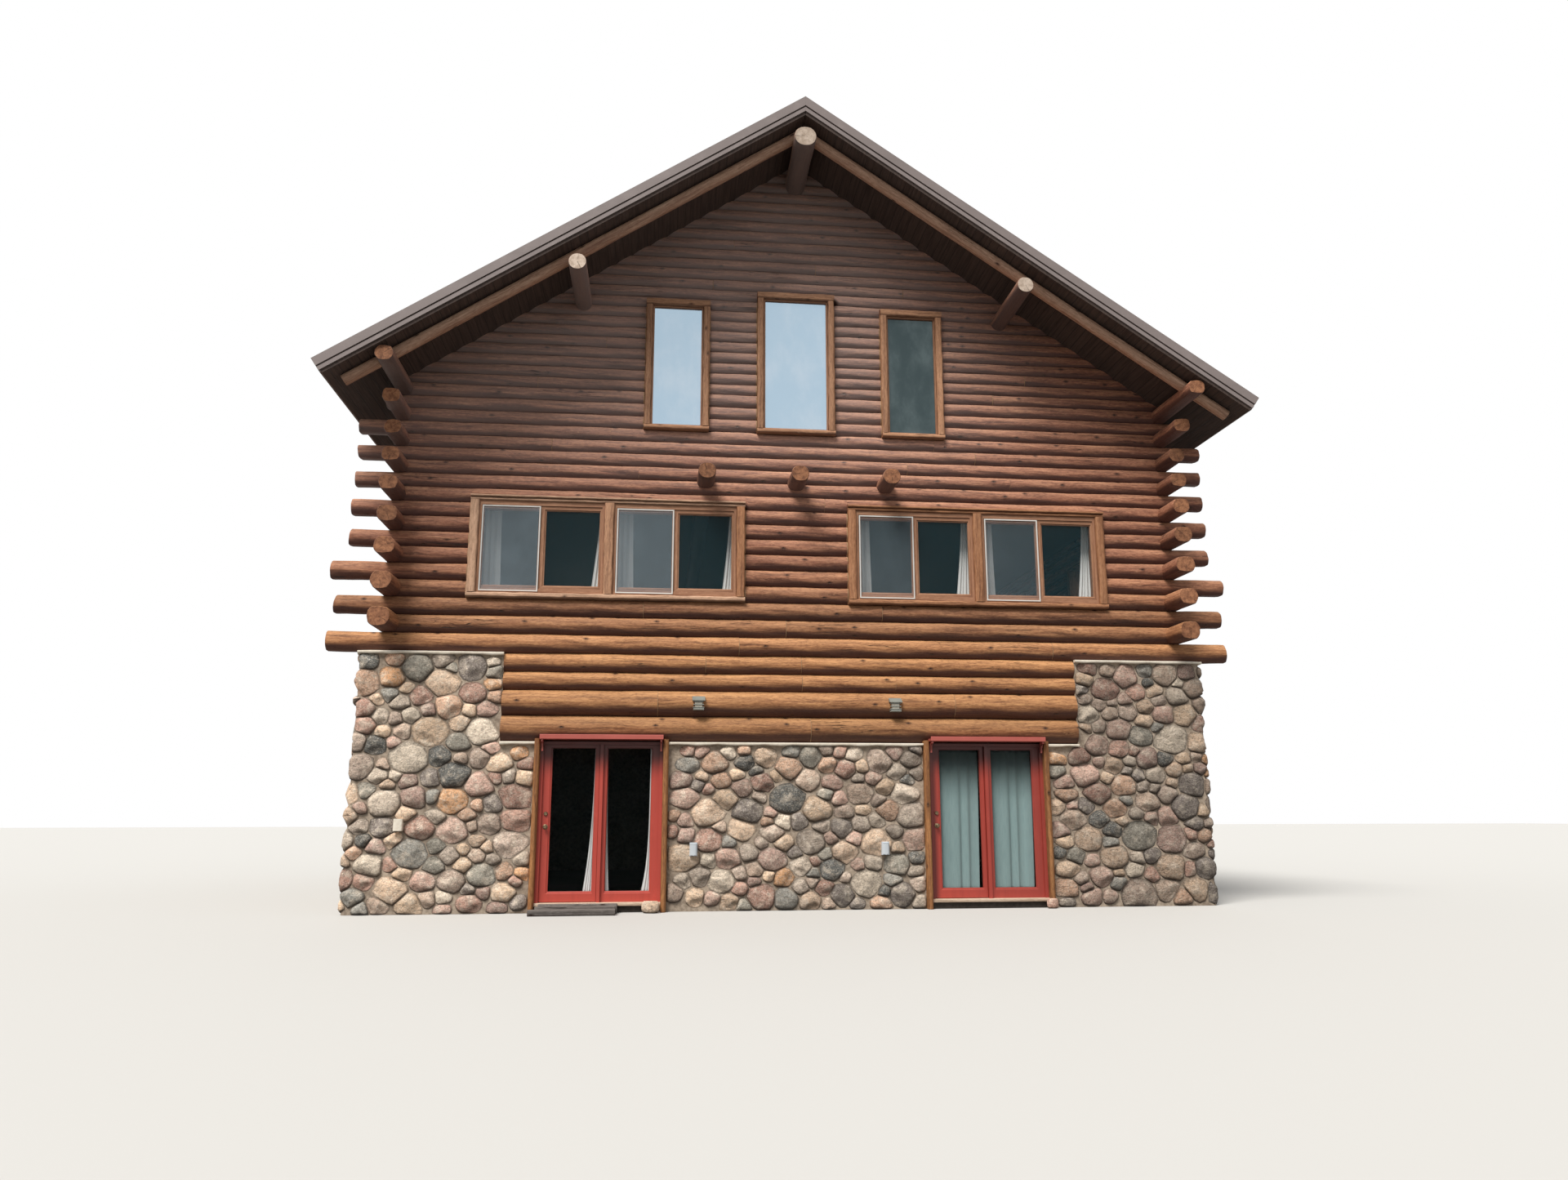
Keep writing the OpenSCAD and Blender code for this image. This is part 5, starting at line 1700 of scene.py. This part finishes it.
@dataclass
class Windows:
    """Casings with wandering edges, brown sliding units, screens and panes."""

    finishes: Finishes
    casing_out: float = 0.190
    casing_in: float = 0.160
    stepped_out: float = 0.168
    side: float = 0.120
    post: float = 0.065
    lap: float = 0.002

    def __post_init__(self) -> None:
        """Starts the four pieces."""
        self.casings, self.frames, self.screens, self.panes = (Surface(name) for name in (
            "live_edge_casings", "sliding_units", "insect_screens", "window_panes"))

    def casing(self, wall: Wall, area: Rect, seed: int, out: float | None = None) -> None:
        """One casing board: a half log, crowned in front, with live edges.

        The section is a deep rounded rectangle whose front bulges, carried along the area's longer
        way with both narrow sides wandering.

        Args:
            wall: the wall that carries it.
            area: its front.
            seed: picks the wander and the grain's place.
            out: how far its front stands out, where that isn't the casings' own.
        """
        out, back = out or self.casing_out, -self.casing_in
        across, tall = area.x1 - area.x0, area.z1 - area.z0
        width, length = sorted((across, tall))
        size = (width, out - back, min(0.014, width * 0.22), 5)
        section = rounded_section(*size, 0.007, 2.2)
        place = np.linspace(0, length, max(4, int(length / 0.07)))
        wave = min(0.0045, width * 0.05)
        left, right = (wave * (ripple(place, seed + k, 0.55) - 0.55)[:, None] for k in (0, 1))
        side = section[:, 0] + np.where(section[:, 0] > 0, right, -left)
        uneven = 0.003 * ripple(place, seed + 2, 0.7)[:, None]
        depth = section[:, 1] + (out + back) / 2 + np.where(section[:, 1] > 0, uneven, 0)
        depth = np.minimum(depth, out)
        if tall > across:
            rings = wall.value.place((area.x0 + area.x1) / 2 + side, depth, area.z0 + place[:, None])
        else:
            rings = wall.value.place(area.x0 + place[:, None], depth, (area.z0 + area.z1) / 2 + side)
        rng = np.random.default_rng(seed)
        tone, pallor = rng.random(), 0.3
        # On the front's lower windows the casings get painted light: lighter and paler towards the left,
        # darker towards the right.
        if wall is Wall.FRONT and area.z0 < ATTIC_Z:
            tone, pallor = 0.5 - 0.08 * area.x0, min(1.0, max(0.0, -0.3 * (area.x0 + 1.2)))
        self.casings.loft(rings, 0, 1, cap_uv=rounded_section(*size), cell=(tone, pallor, rng.random()),
                          u0=rng.random() * 7)

    def pane(self, wall: Wall, area: Rect, place: int) -> None:
        """A double-glazed pane: a thin slab whose middle is blown out by a fraction of a mm.

        Args:
            wall: the wall that carries it.
            area: its edges.
            place: material place.
        """
        n = 6
        u = np.linspace(0, 1, n)
        x, z = np.meshgrid(area.x0 + u * (area.x1 - area.x0), area.z0 + u * (area.z1 - area.z0),
                           indexing="ij")
        bulge = 0.0006 * np.sin(math.pi * u)[:, None] * np.sin(math.pi * u)
        points = np.vstack([wall.value.place(x, 0.100 + s * (0.010 + bulge), z).reshape(-1, 3)
                            for s in (1, -1)])
        k = np.arange(n * n).reshape(n, n)
        quad = np.stack([k[:-1, :-1], k[1:, :-1], k[1:, 1:], k[:-1, 1:]], axis=-1).reshape(-1, 4)
        rim = np.concatenate([k[0, :], k[1:, -1], k[-1, -2::-1], k[-2:0:-1, 0]])
        nxt = np.roll(rim, -1)
        sides = np.stack([rim, nxt, nxt + n * n, rim + n * n], axis=1)
        faces = np.vstack([quad[:, ::-1], quad + n * n, sides])
        self.panes.shell(points, [(faces, np.zeros((len(faces), 4, 2)), place)])

    def unit(self, wall: Wall, x: float) -> None:
        """A sliding unit: outer frame, fixed right sash, left sash behind a screen.

        Args:
            wall: the wall that carries it.
            x: its left edge.
        """
        facing = wall.value
        area = Rect(x, x + UNIT_W, UNIT_Z, UNIT_Z + UNIT_H)
        outer = [(0.0, 0.060), (0.0, 0.138), (0.06, 0.140), (0.80, 0.140), (0.84, 0.136),
                 (0.86, 0.122), (1.0, 0.120), (1.0, 0.060)]
        sash = [(0.0, 0.075), (0.0, 0.122), (0.04, 0.126), (0.70, 0.126), (0.86, 0.114),
                (1.0, 0.112), (1.0, 0.075)]
        bar = [(0.0, 0.141), (0.0, 0.150), (0.12, 0.152), (0.88, 0.152), (1.0, 0.149), (1.0, 0.141)]
        spline = [(0.0, 0.1425), (0.0, 0.1475), (1.0, 0.146), (1.0, 0.1425)]
        ring_frame(self.frames, facing, area, (0.042, 0.042, 0.070, 0.070), outer)
        ring_frame(self.frames, facing, area.inset(0.030, 0.852, 0.060, 0.062),
                   (0.036, 0.034, 0.052, 0.060), [(a, b - 0.012) for a, b in sash])
        ring_frame(self.frames, facing, area.inset(0.813, 0.030, 0.060, 0.062),
                   (0.077, 0.036, 0.052, 0.060), sash)
        self.pane(wall, area.inset(0.065, 0.870, 0.110, 0.120), 0)
        self.pane(wall, area.inset(0.890, 0.065, 0.110, 0.120), 0)
        screen = area.inset(0.040, 0.860, 0.020, 0.065)
        ring_frame(self.screens, facing, screen, (0.017,) * 4, bar)
        mesh = screen.inset(0.016, 0.016, 0.016, 0.016)
        ring_frame(self.screens, facing, mesh, (0.004,) * 4, spline, 1)
        corners = np.array([(mesh.x0, mesh.z0), (mesh.x1, mesh.z0), (mesh.x1, mesh.z1), (mesh.x0, mesh.z1)])
        rings = [facing.place(corners[:, 0], depth, corners[:, 1]) for depth in (0.1436, 0.1448)]
        clear = wall is Wall.FRONT and x > 0
        self.screens.loft(np.stack(rings), 2, cell=(0.0 if clear else 0.6, 0.5, 0.5))

    def surround(self, wall: Wall, w: Rect, seed: int) -> Rect:
        """Casing boards round an opening; the wide windows have a stepped double head.

        Args:
            wall: the wall that carries them.
            w: the opening.
            seed: picks the wander.
        Returns:
            What the boards leave free.
        """
        attic = w.z0 > ATTIC_Z
        low, top, side = (0.065, 0.105, 0.095) if attic else (0.070, 0.080, self.side)
        free = w.inset(side, side, low, top)
        head = w.z1 - (top if attic else 0.036)
        self.casing(wall, Rect(w.x0, w.x1, w.z0, free.z0), seed)
        self.casing(wall, Rect(w.x0, w.x1, head, w.z1), seed + 3)
        if not attic:
            self.casing(wall, Rect(w.x0, w.x1, free.z1, head - 0.003), seed + 5, self.stepped_out)
        low_z, high_z = free.z0 - self.lap, free.z1 + self.lap
        self.casing(wall, Rect(w.x0, free.x0, low_z, high_z), seed + 6)
        self.casing(wall, Rect(free.x1, w.x1, low_z, high_z), seed + 9)
        if wall.is_end and not attic:
            middle = (w.x0 + w.x1) / 2
            self.casing(wall, Rect(middle - self.post, middle + self.post, low_z, high_z), seed + 12)
        return free

    def make(self) -> None:
        """Builds casings, frames, screens and panes on all four walls."""
        f = self.finishes
        for index, wall in enumerate(Wall):
            for k, w in enumerate(openings(wall)):
                free = self.surround(wall, w, 220 + 1000 * index + 20 * k)
                middle = (w.x0 + w.x1) / 2
                if w.z0 > ATTIC_Z:
                    ring_frame(self.frames, wall.value, free, (0.025,) * 4, [
                        (0.0, 0.060), (0.0, 0.136), (0.2, 0.140), (0.7, 0.138), (1.0, 0.120), (1.0, 0.060)])
                    dim = abs(w.x0) > 1 and (w.x0 > 0.5) == (wall is Wall.FRONT)
                    self.pane(wall, free.inset(0.025, 0.025, 0.025, 0.025), 2 if dim else 1)
                elif wall.is_end:
                    self.unit(wall, middle - self.post - UNIT_W)
                    self.unit(wall, middle + self.post)
                else:
                    self.unit(wall, middle - UNIT_W / 2)
        section = rounded_section(0.5625, 0.020, 0.002, turns=2) * (1, -1)
        for s in (-1, 1):
            middle = (s * DOOR_X + 0.36375, -4.678)
            self.panes.loft(sweep(section + middle, (0.261, 1.167, 2.073), 2), 3)
        self.casings.build([f.casing, f.log_end], "casing_wood", replaces=["window_casings"])
        self.frames.build([f.frame], "window_frame", replaces=["window_frames"], sharp=25)
        self.screens.build([f.white, f.frame, f.mesh], "screen", replaces=["window_screens"], sharp=25)
        self.panes.build([f.glass, f.sky_glass, f.dim_glass, f.door_glass], "glass",
                         replaces=["glass_panes"], sharp=25)


# Doors

@dataclass
class Doors:
    """Two pairs of red glazed leaves between half-log jambs, with sills and hoods."""

    finishes: Finishes
    leaf_front: float = 4.700
    leaf_back: float = 4.655
    jamb_half: float = 0.0365

    def leaf(self, surface: Surface, area: Rect, widths: Sequence[float]) -> None:
        """A glazed leaf: stiles and rails with eased edges, and a raised bead at the glass.

        Args:
            surface: the piece it belongs to.
            area: its edges.
            widths: widths of the left and right stile and the bottom and top rail.
        """
        front, back = self.leaf_front, self.leaf_back
        profile = [(0.0, back + 0.003), (0.0, front - 0.003), (0.04, front), (0.80, front),
                   (0.84, front - 0.004), (0.86, front - 0.010), (0.94, front - 0.010),
                   (1.0, front - 0.016), (1.0, back + 0.006), (0.90, back), (0.04, back)]
        ring_frame(surface, Facing((0.0, 0.0), (1.0, 0.0), (0.0, -1.0)), area, widths, profile)

    def jambs(self, surface: Surface) -> None:
        """Half-log posts beside each door: a deep post with a round front and live edges.

        Args:
            surface: the piece they belong to.
        """
        z = np.linspace(0.0, 2.195, 30)
        angle = np.linspace(0, math.pi, 11)
        half = self.jamb_half
        back = np.array([(-half, -4.70), (-half, -4.388), (half, -4.388), (half, -4.70)])
        for s in (-1, 1):
            for t in (-1, 1):
                x = s * DOOR_X + t * (DOOR_W / 2 - 0.0375)
                seed = 900 + 10 * s + 3 * t
                wobble = half * (1 + 0.035 * (ripple(z, seed, 0.7) - 1)[:, None])
                outline = np.zeros((len(z), 15, 2))
                outline[:, :11, 0] = x + np.cos(angle) * wobble
                outline[:, :11, 1] = -4.7905 - np.sin(angle) * wobble
                outline[:, 11:] = back + (x, 0)
                outline[z > STONE_MID, 11:, 1] = -4.76
                rng = np.random.default_rng(seed)
                surface.loft(sweep(outline, z, 2), 0, 1, cap_uv=outline[0] - (x, -4.78),
                             cell=(rng.random(), 0.5, rng.random()), u0=rng.random() * 6)

    def hoods(self, surface: Surface) -> None:
        """A hood board with a raised front lip over each door, on two brackets with a curved edge.

        Args:
            surface: the piece they belong to.
        """
        half = 0.7945
        outline = np.array([(-4.64, 2.182), (-4.896, 2.182), (-4.903, 2.186), (-4.904, 2.238),
                            (-4.900, 2.243), (-4.886, 2.243), (-4.882, 2.219), (-4.64, 2.219)])
        inner = np.linspace(-half + 0.1, half - 0.1, 8)
        places = np.array([-half, -half + 0.003, *inner, half - 0.003, half])
        angle = np.linspace(math.pi / 2, 0, 9)
        curve = np.stack([-4.868 + 0.082 * np.cos(angle), 2.035 + 0.118 * np.sin(angle)], axis=1)
        shape = np.vstack([(-4.772, 2.035), (-4.772, 2.181), (-4.88, 2.181), (-4.88, 2.155), curve])
        middle = shape.mean(axis=0)
        bracket = middle + (shape - middle) * np.array([0.96, 1.0, 1.0, 0.96])[:, None, None]
        for s in (-1, 1):
            x = s * DOOR_X
            surface.loft(sweep(outline, x + places, 0))
            for t in (-1, 1):
                thick = np.array([-0.0125, -0.0095, 0.0095, 0.0125])
                surface.loft(sweep(bracket, x + t * (half - 0.0265) + thick, 0))

    def make(self) -> None:
        """Builds jambs, leaves, sills and hoods."""
        f = self.finishes
        jambs, fixed, sills, hoods = (Surface(name) for name in (
            "door_jamb_half_logs", "fixed_door_leaves", "door_sill_boards", "door_hood_boards"))
        moving: list[Surface] = []
        self.jambs(jambs)
        self.hoods(hoods)
        for s, word in ((-1, "left"), (1, "right")):
            x, half = s * DOOR_X, DOOR_W / 2 - 0.075
            self.leaf(fixed, Rect(x + 0.0225, x + 0.763, 0.125, 2.135), (0.060, 0.118, 0.136, 0.062))
            moving.append(Surface(f"{word}_moving_leaf"))
            self.leaf(moving[-1], Rect(x - 0.7555, x - 0.0275, 0.131, 2.129), (0.118, 0.060, 0.130, 0.056))
            board(sills, (x - half, -4.775, 0.08), (x + half, -4.385, 0.125), 0, 0.006, seed=s + 5, front=2)
            # The lower board is set back under the sill and takes the near-black finish, painted shade.
            board(sills, (x - half, -4.725, 0.0), (x + half, -4.385, 0.08), 0, 0.003, seed=s + 9,
                  front=2, place=1)
        jambs.build([f.jamb, f.log_end], "jamb_wood", replaces=["door_jamb_logs"], sharp=50)
        fixed.build([f.red], "red_paint", replaces=["fixed_leaves"], sharp=25)
        for leaf, word in zip(moving, ("left", "right")):
            leaf.build([f.red], "red_paint", f"{word}_leaf", [f"{word}_door_leaf"], 25)
        sills.build([f.sill, f.painted_sill_shade], "sill_wood", replaces=["door_sills"])
        hoods.build([f.hood], "red_paint", replaces=["door_hoods"], sharp=30)


# Cloth

@dataclass(frozen=True)
class Curtain:
    """One hanging curtain: an even height, pleated across, with folds that open downwards.

    The cloth is x = left + u * width and y = depth * sin(2 pi folds u) with small second waves,
    where left and width change from the rod to the hem, by the share of the drop to the power flare.
    """

    name: str
    hem: tuple[float, float]
    head: tuple[float, float]
    height: tuple[float, float]
    y: float
    folds: float
    finish: bpy.types.Material
    depth: float = 0.011
    uneven: float = 0.5
    flare: float = 1.35
    body: str = "root"
    node: str = "curtains"
    rod: str = "curtain_rods"

    def cloth(self, rows: int, cols: int) -> Array:
        """Points of the cloth.

        Args:
            rows: points down.
            cols: points across.
        Returns:
            (rows, cols, 3) places.
        """
        u = np.linspace(0, 1, cols)[None, :]
        v = np.linspace(0, 1, rows)[:, None]
        left, right = (a + (b - a) * v ** self.flare for a, b in zip(self.head, self.hem))
        phase = 2 * math.pi * self.folds * u
        sway = 0.25 * np.sin(3.1 * v + self.folds)
        swing = np.sin(phase + sway + self.uneven * np.sin(2 * math.pi * u + self.folds))
        second = 0.35 * np.sin(phase * 0.5 + 1.3 + 2.0 * v)
        grow = 0.62 + 0.38 * np.minimum(1, v * 2.2)
        x = left + (right - left) * (u + 0.012 * np.sin(phase * 2) * (0.5 + v))
        y = self.y + self.depth * grow * (swing + second) / 1.35
        z = self.height[1] + (self.height[0] - self.height[1]) * v
        return np.stack(np.broadcast_arrays(x, y, z), axis=-1)

    def make(self) -> None:
        """Builds the piece, and measures the size it was cut to along its folds."""
        rows, cols = 26, max(int(self.folds * 10) + 6, 40)
        points = self.cloth(rows, cols)
        mesh = bpy.data.meshes.new(self.name)
        k = np.arange(rows * cols).reshape(rows, cols)
        faces = np.stack([k[:-1, :-1], k[1:, :-1], k[1:, 1:], k[:-1, 1:]], axis=-1).reshape(-1, 4)
        mesh.from_pydata(points.reshape(-1, 3).tolist(), [], faces.tolist())
        down, across = (np.concatenate([[0], np.cumsum(
            np.linalg.norm(np.diff(points, axis=axis), axis=2).mean(1 - axis))]) for axis in (0, 1))
        loops = np.zeros(len(mesh.loops), np.int32)
        mesh.loops.foreach_get("vertex_index", loops)
        uv = np.stack([across[loops % cols], down[loops // cols]], axis=1)
        mesh.uv_layers.new(name="UVMap").data.foreach_set("uv", uv.ravel())
        mesh.shade_smooth()
        piece = add_object(self.name, mesh, [self.finish])
        solid = piece.modifiers.new("cloth", "SOLIDIFY")
        solid.thickness = 0.0012
        solid.offset = 0.0
        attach(piece, self.body)
        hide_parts(self.node)


@dataclass
class Curtains:
    """Curtains behind the main windows and the door leaves, each hung from its rod."""

    finishes: Finishes
    window_y: float = -FRONT_Y + 0.182
    window_rod_z: float = 5.425
    door_rod: tuple[float, float] = (-4.631, 2.098)

    def window_rod(self, rods: Surface, x: float) -> None:
        """A rod over one pair of units, on three short arms."""
        y, z = self.window_y, self.window_rod_z
        round_bar(rods, (x - 1.80, y, z), (x + 1.80, y, z), 0.008)
        for px in (x - 1.79, x, x + 1.79):
            round_bar(rods, (px, y - 0.021, z), (px, y, z), 0.006, 8)

    def leaf_rod(self, rods: Surface, x0: float, x1: float) -> None:
        """A thin rod behind a door leaf, on two pegs 10 mm from its ends."""
        y, z = self.door_rod
        round_bar(rods, (x0, y, z), (x1, y, z), 0.006)
        for px in (x0 + 0.010, x1 - 0.010):
            round_bar(rods, (px, y - 0.021, z), (px, y, z), 0.004, 8)

    def make(self) -> None:
        """Builds the rods and all curtains."""
        f = self.finishes
        rods = Surface("curtain_rods")
        for s in (-1, 1):
            self.window_rod(rods, s * DOOR_X)
            self.leaf_rod(rods, s * DOOR_X + 0.055, s * DOOR_X + 0.690)
        rods.build([f.brass], "hardware")
        hung: list[Curtain] = []
        letters = iter("abcdefgh")
        for s in (-1, 1):
            for x in (s * DOOR_X - 0.065 - UNIT_W, s * DOOR_X + 0.065):
                right, drawn = x + UNIT_W + 0.02, 1.60 if x < 3 else 1.53
                for hem, head, folds, depth in (
                        ((x - 0.02, x + 0.28), (x - 0.02, x + 0.25), 3.4, 0.018),
                        ((x + 1.49, right), (x + drawn, right), 4, 0.015)):
                    hung.append(Curtain(f"window_curtain_{next(letters)}", hem, head, (4.175, 5.418),
                                        self.window_y, folds, f.white_cloth, depth))
        left, right, drop, y = -DOOR_X, DOOR_X, (0.205, 2.092), -4.632
        hung += [
            Curtain("left_door_fixed_curtain_a", (left + 0.063, left + 0.135), (left + 0.063, left + 0.078),
                    drop, y, 2, f.white_cloth, flare=2.2),
            Curtain("left_door_fixed_curtain_b", (left + 0.530, left + 0.667), (left + 0.632, left + 0.667),
                    drop, y, 3, f.white_cloth, flare=5.0),
            Curtain("right_door_fixed_curtain", (right + 0.063, right + 0.630),
                    (right + 0.063, right + 0.655), drop, y + 0.006, 2.7, f.grey_cloth, 0.018, 1.9),
            Curtain("left_door_moving_curtain", (left - 0.210, left - 0.075), (left - 0.093, left - 0.075),
                    drop, y, 4, f.white_cloth, 0.009, 0.5, 2.6, "left_leaf", "left_door_curtain",
                    "left_door_rod"),
            Curtain("right_door_moving_curtain", (right - 0.660, right - 0.115),
                    (right - 0.660, right - 0.085), drop, y + 0.006, 2.3, f.grey_cloth, 0.018, 2.1, 1.35,
                    "right_leaf", "right_door_curtain", "right_door_rod"),
        ]
        for curtain in hung:
            if curtain.body != "root":
                x = left if curtain.body == "left_leaf" else right
                rod = Surface(curtain.rod)
                self.leaf_rod(rod, x - 0.665, x - 0.065)
                rod.build([f.brass], "hardware", curtain.body)
            curtain.make()


# Fittings

@dataclass
class Fittings:
    """Lanterns, socket covers, plank step and the single stones at the sills' feet."""

    finishes: Finishes
    plank_sizes: tuple[tuple[float, float, float], ...] = (
        (-0.730, 0.250, 0.118), (-0.755, 0.230, 0.096), (-0.828, 0.240, 0.072))

    def lanterns(self) -> None:
        """Two wall lamps: a sloped lid over a body with three fins."""
        surface = Surface("wall_lanterns")
        y, z = -4.7655, 2.670
        lid = np.array([(0.0, 0.092), (-0.012, 0.095), (-0.060, 0.066), (-0.097, 0.040),
                        (-0.098, 0.030), (0.0, 0.045)])
        for x in (-1.33, 1.33):
            board(surface, (x - 0.055, y - 0.012, z - 0.09), (x + 0.055, y, z + 0.09), 2, 0.004)
            surface.loft(sweep(lid + (y, z), x + np.array([-0.085, -0.082, 0.082, 0.085]), 0))
            for k in range(3):
                level, grow = z + 0.020 - 0.038 * k, 0.004 * k
                board(surface, (x - 0.066 - grow, y - 0.080 - grow, level - 0.008),
                      (x + 0.066 + grow, y, level + 0.004), 0, 0.003, front=2)
            board(surface, (x - 0.050, y - 0.066, z - 0.075), (x + 0.050, y, z + 0.045), 2, 0.010, place=1)
            board(surface, (x - 0.070, y - 0.095, z - 0.093), (x + 0.070, y, z - 0.072), 0, 0.005, front=2)
        surface.build([self.finishes.lamp, self.finishes.mortar_cap], "lamp_metal", replaces=["lanterns"])

    def covers(self) -> None:
        """Weatherproof socket covers: a plate with a rounded lid, hinge and catch."""
        surface = Surface("socket_covers")
        y = -STONE_Y
        for x in (-1.370, 1.160):
            board(surface, (x - 0.050, y - 0.010, 0.695), (x + 0.050, y + 0.078, 0.865), 2, 0.004)
            board(surface, (x - 0.042, y - 0.030, 0.705), (x + 0.042, y - 0.008, 0.842), 2, 0.009,
                  crown=0.006)
            round_bar(surface, (x - 0.040, y - 0.014, 0.850), (x + 0.040, y - 0.014, 0.850), 0.006)
            board(surface, (x - 0.010, y - 0.029, 0.697), (x + 0.010, y - 0.012, 0.708), 0, 0.003)
        board(surface, (-5.155, y - 0.020, 1.025), (-5.045, y + 0.078, 1.175), 2, 0.006, crown=0.004, place=1)
        surface.build([self.finishes.cover, self.finishes.mortar_cap], "lamp_metal",
                      replaces=["outlet_covers"])

    def planks(self) -> None:
        """Three grey planks with worn edges and uneven ends."""
        surface = Surface("step_planks")
        for k, (x0, x1, height) in enumerate(self.plank_sizes):
            top = -STONE_Y + 0.0097 - k * 0.1303
            board(surface, (x0 - DOOR_X, top - 0.1285, 0.0), (x1 - DOOR_X, top - 0.0015, height),
                  0, 0.012, wave=0.006, seed=60 + k, front=2, step=0.07)
        surface.build([self.finishes.plank, self.finishes.plank], "weathered_wood",
                      replaces=["plank_step"])

    def foot_stones(self) -> None:
        """One loose stone at the right foot of each door: a superellipsoid with a lumpy outline."""
        surface = Surface("sill_foot_stones")
        angle = np.arange(18) * 2 * math.pi / 18
        v = np.linspace(-1, 1, 11)[1:-1]
        ring = ((1 - np.abs(v) ** 2.7) ** (1 / 2.7))[:, None]
        for x, y, size, pick in ((-1.905, -4.875, (0.112, 0.085, 0.072), 0.67),
                                 (3.375, -4.855, (0.078, 0.060, 0.062), 0.07)):
            rng = np.random.default_rng(int(abs(x) * 100))
            lump = 1 + 0.10 * np.sin(2 * angle + rng.random() * 6)
            lump = lump + 0.06 * np.sin(5 * angle + rng.random() * 6)
            outline = np.stack([x + size[0] * ring * np.cos(angle) * lump,
                                y + size[1] * ring * np.sin(angle) * lump], axis=-1)
            surface.loft(sweep(outline, size[2] * (1 + v / v[-1]) + 0.001, 2), cell=(pick, 0.6, rng.random()))
        surface.build([self.finishes.stone], "fieldstone", sharp=80)

    def make(self) -> None:
        """Builds all fittings."""
        self.lanterns()
        self.covers()
        self.planks()
        self.foot_stones()


def dress_cad(finishes: Finishes) -> None:
    """Gives every CAD node that stays visible its finish.

    Args:
        finishes: the finishes.
    """
    f = finishes
    wanted = {
        "basement_slab": f.concrete, "main_floor": f.floor, "loft_floor": f.floor,
        "roof_deck": f.soffit, "metal_roofing": f.roof, "ridge_cap": f.roof, "rake_trim": f.trim,
        "eave_trim": f.trim, "door_frames": f.red, "hinge_pins": f.brass,
        "left_door_hardware": f.brass, "right_door_hardware": f.brass,
        "left_door_glass": f.door_glass, "right_door_glass": f.door_glass,
    }
    for name, finish in wanted.items():
        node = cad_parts[name]
        node.data.materials.clear()
        node.data.materials.append(finish)


@dataclass
class Studio:
    """Camera, floor, world and lamps."""

    place: tuple[float, float, float] = (-1.7985, -19.2799, 1.2433)
    yaw: float = 0.1109
    pitch: float = 0.2022
    roll: float = -0.0017
    focal: float = 1330.0
    width: float = 1920.0
    floor_half: float = 90.0

    def camera(self) -> None:
        """A camera turned by yaw to the right, then pitch upwards, then roll."""
        cy, sy = math.cos(self.yaw), math.sin(self.yaw)
        cp, sp = math.cos(self.pitch), math.sin(self.pitch)
        cr, sr = math.cos(self.roll), math.sin(self.roll)
        forward = Vector((cp * sy, cp * cy, sp))
        level = Vector((cy, -sy, 0.0))
        upright = Vector((-sp * sy, -sp * cy, cp))
        turn = Matrix((level * cr + upright * sr, upright * cr - level * sr, -forward)).transposed()
        data = bpy.data.cameras.new("view")
        data.sensor_width = 36.0
        data.lens = self.focal / self.width * data.sensor_width
        data.clip_end = 400.0
        camera = add_object("view", data)
        camera.matrix_world = Matrix.Translation(self.place) @ turn.to_4x4()
        bpy.context.scene.camera = camera

    def world(self) -> None:
        """White where the camera, gloss and glass see it, and soft daylight elsewhere."""
        world = bpy.data.worlds.new("daylight")
        world.use_nodes = True
        net = Net(world.node_tree)
        net.tree.nodes.clear()
        light = net.node("ShaderNodeBackground", {}, {"Color": (0.97, 0.99, 1.0), "Strength": 0.50})
        white = net.node("ShaderNodeBackground", {}, {"Color": (1.0, 1.0, 1.0)})
        both = net.node("ShaderNodeMixShader", {}, {0: net.seen, 1: light, 2: white})
        net.feed(net.tree.nodes.new("ShaderNodeOutputWorld"), {0: both})
        bpy.context.scene.world = world

    def floor(self) -> None:
        """A plain pale floor that gives back little light, as open ground does."""
        half = self.floor_half
        mesh = bpy.data.meshes.new("floor")
        mesh.from_pydata([(-half, -half, 0), (half, -half, 0), (half, half, 0), (-half, half, 0)], [],
                         [(0, 1, 2, 3)])
        coat = Coat("floor")
        pale = coat.mix((0.12, 0.115, 0.105), ((0.60, 0.59, 0.57), coat.seen))
        floor = add_object("floor", mesh, [coat.finish(pale, 0.9)])
        floor.location.z = -0.002

    def lamps(self) -> None:
        """One wide soft sun from the front, high on the left."""
        sun = bpy.data.lights.new("sun", "SUN")
        sun.energy = 3.7
        sun.angle = math.radians(26)
        sun.color = (1.0, 0.97, 0.92)
        add_object("sun", sun).rotation_euler = [math.radians(turn) for turn in (35, -8, -24)]

    def make(self) -> None:
        """Sets up the studio."""
        self.camera()
        self.world()
        self.floor()
        self.lamps()
        bpy.context.scene.view_settings.view_transform = "Standard"


def main() -> None:
    """Builds the studio, then the building's pieces from the ground up."""
    logging.basicConfig(level=logging.INFO, format="%(name)s %(message)s")
    Studio().make()
    finishes = Finishes()
    dress_cad(finishes)
    for part in (Stonework, LogWalls, RoofTimbers, Windows, Doors, Curtains, Fittings):
        part(finishes).make()


if __name__ == "__main__":
    main()
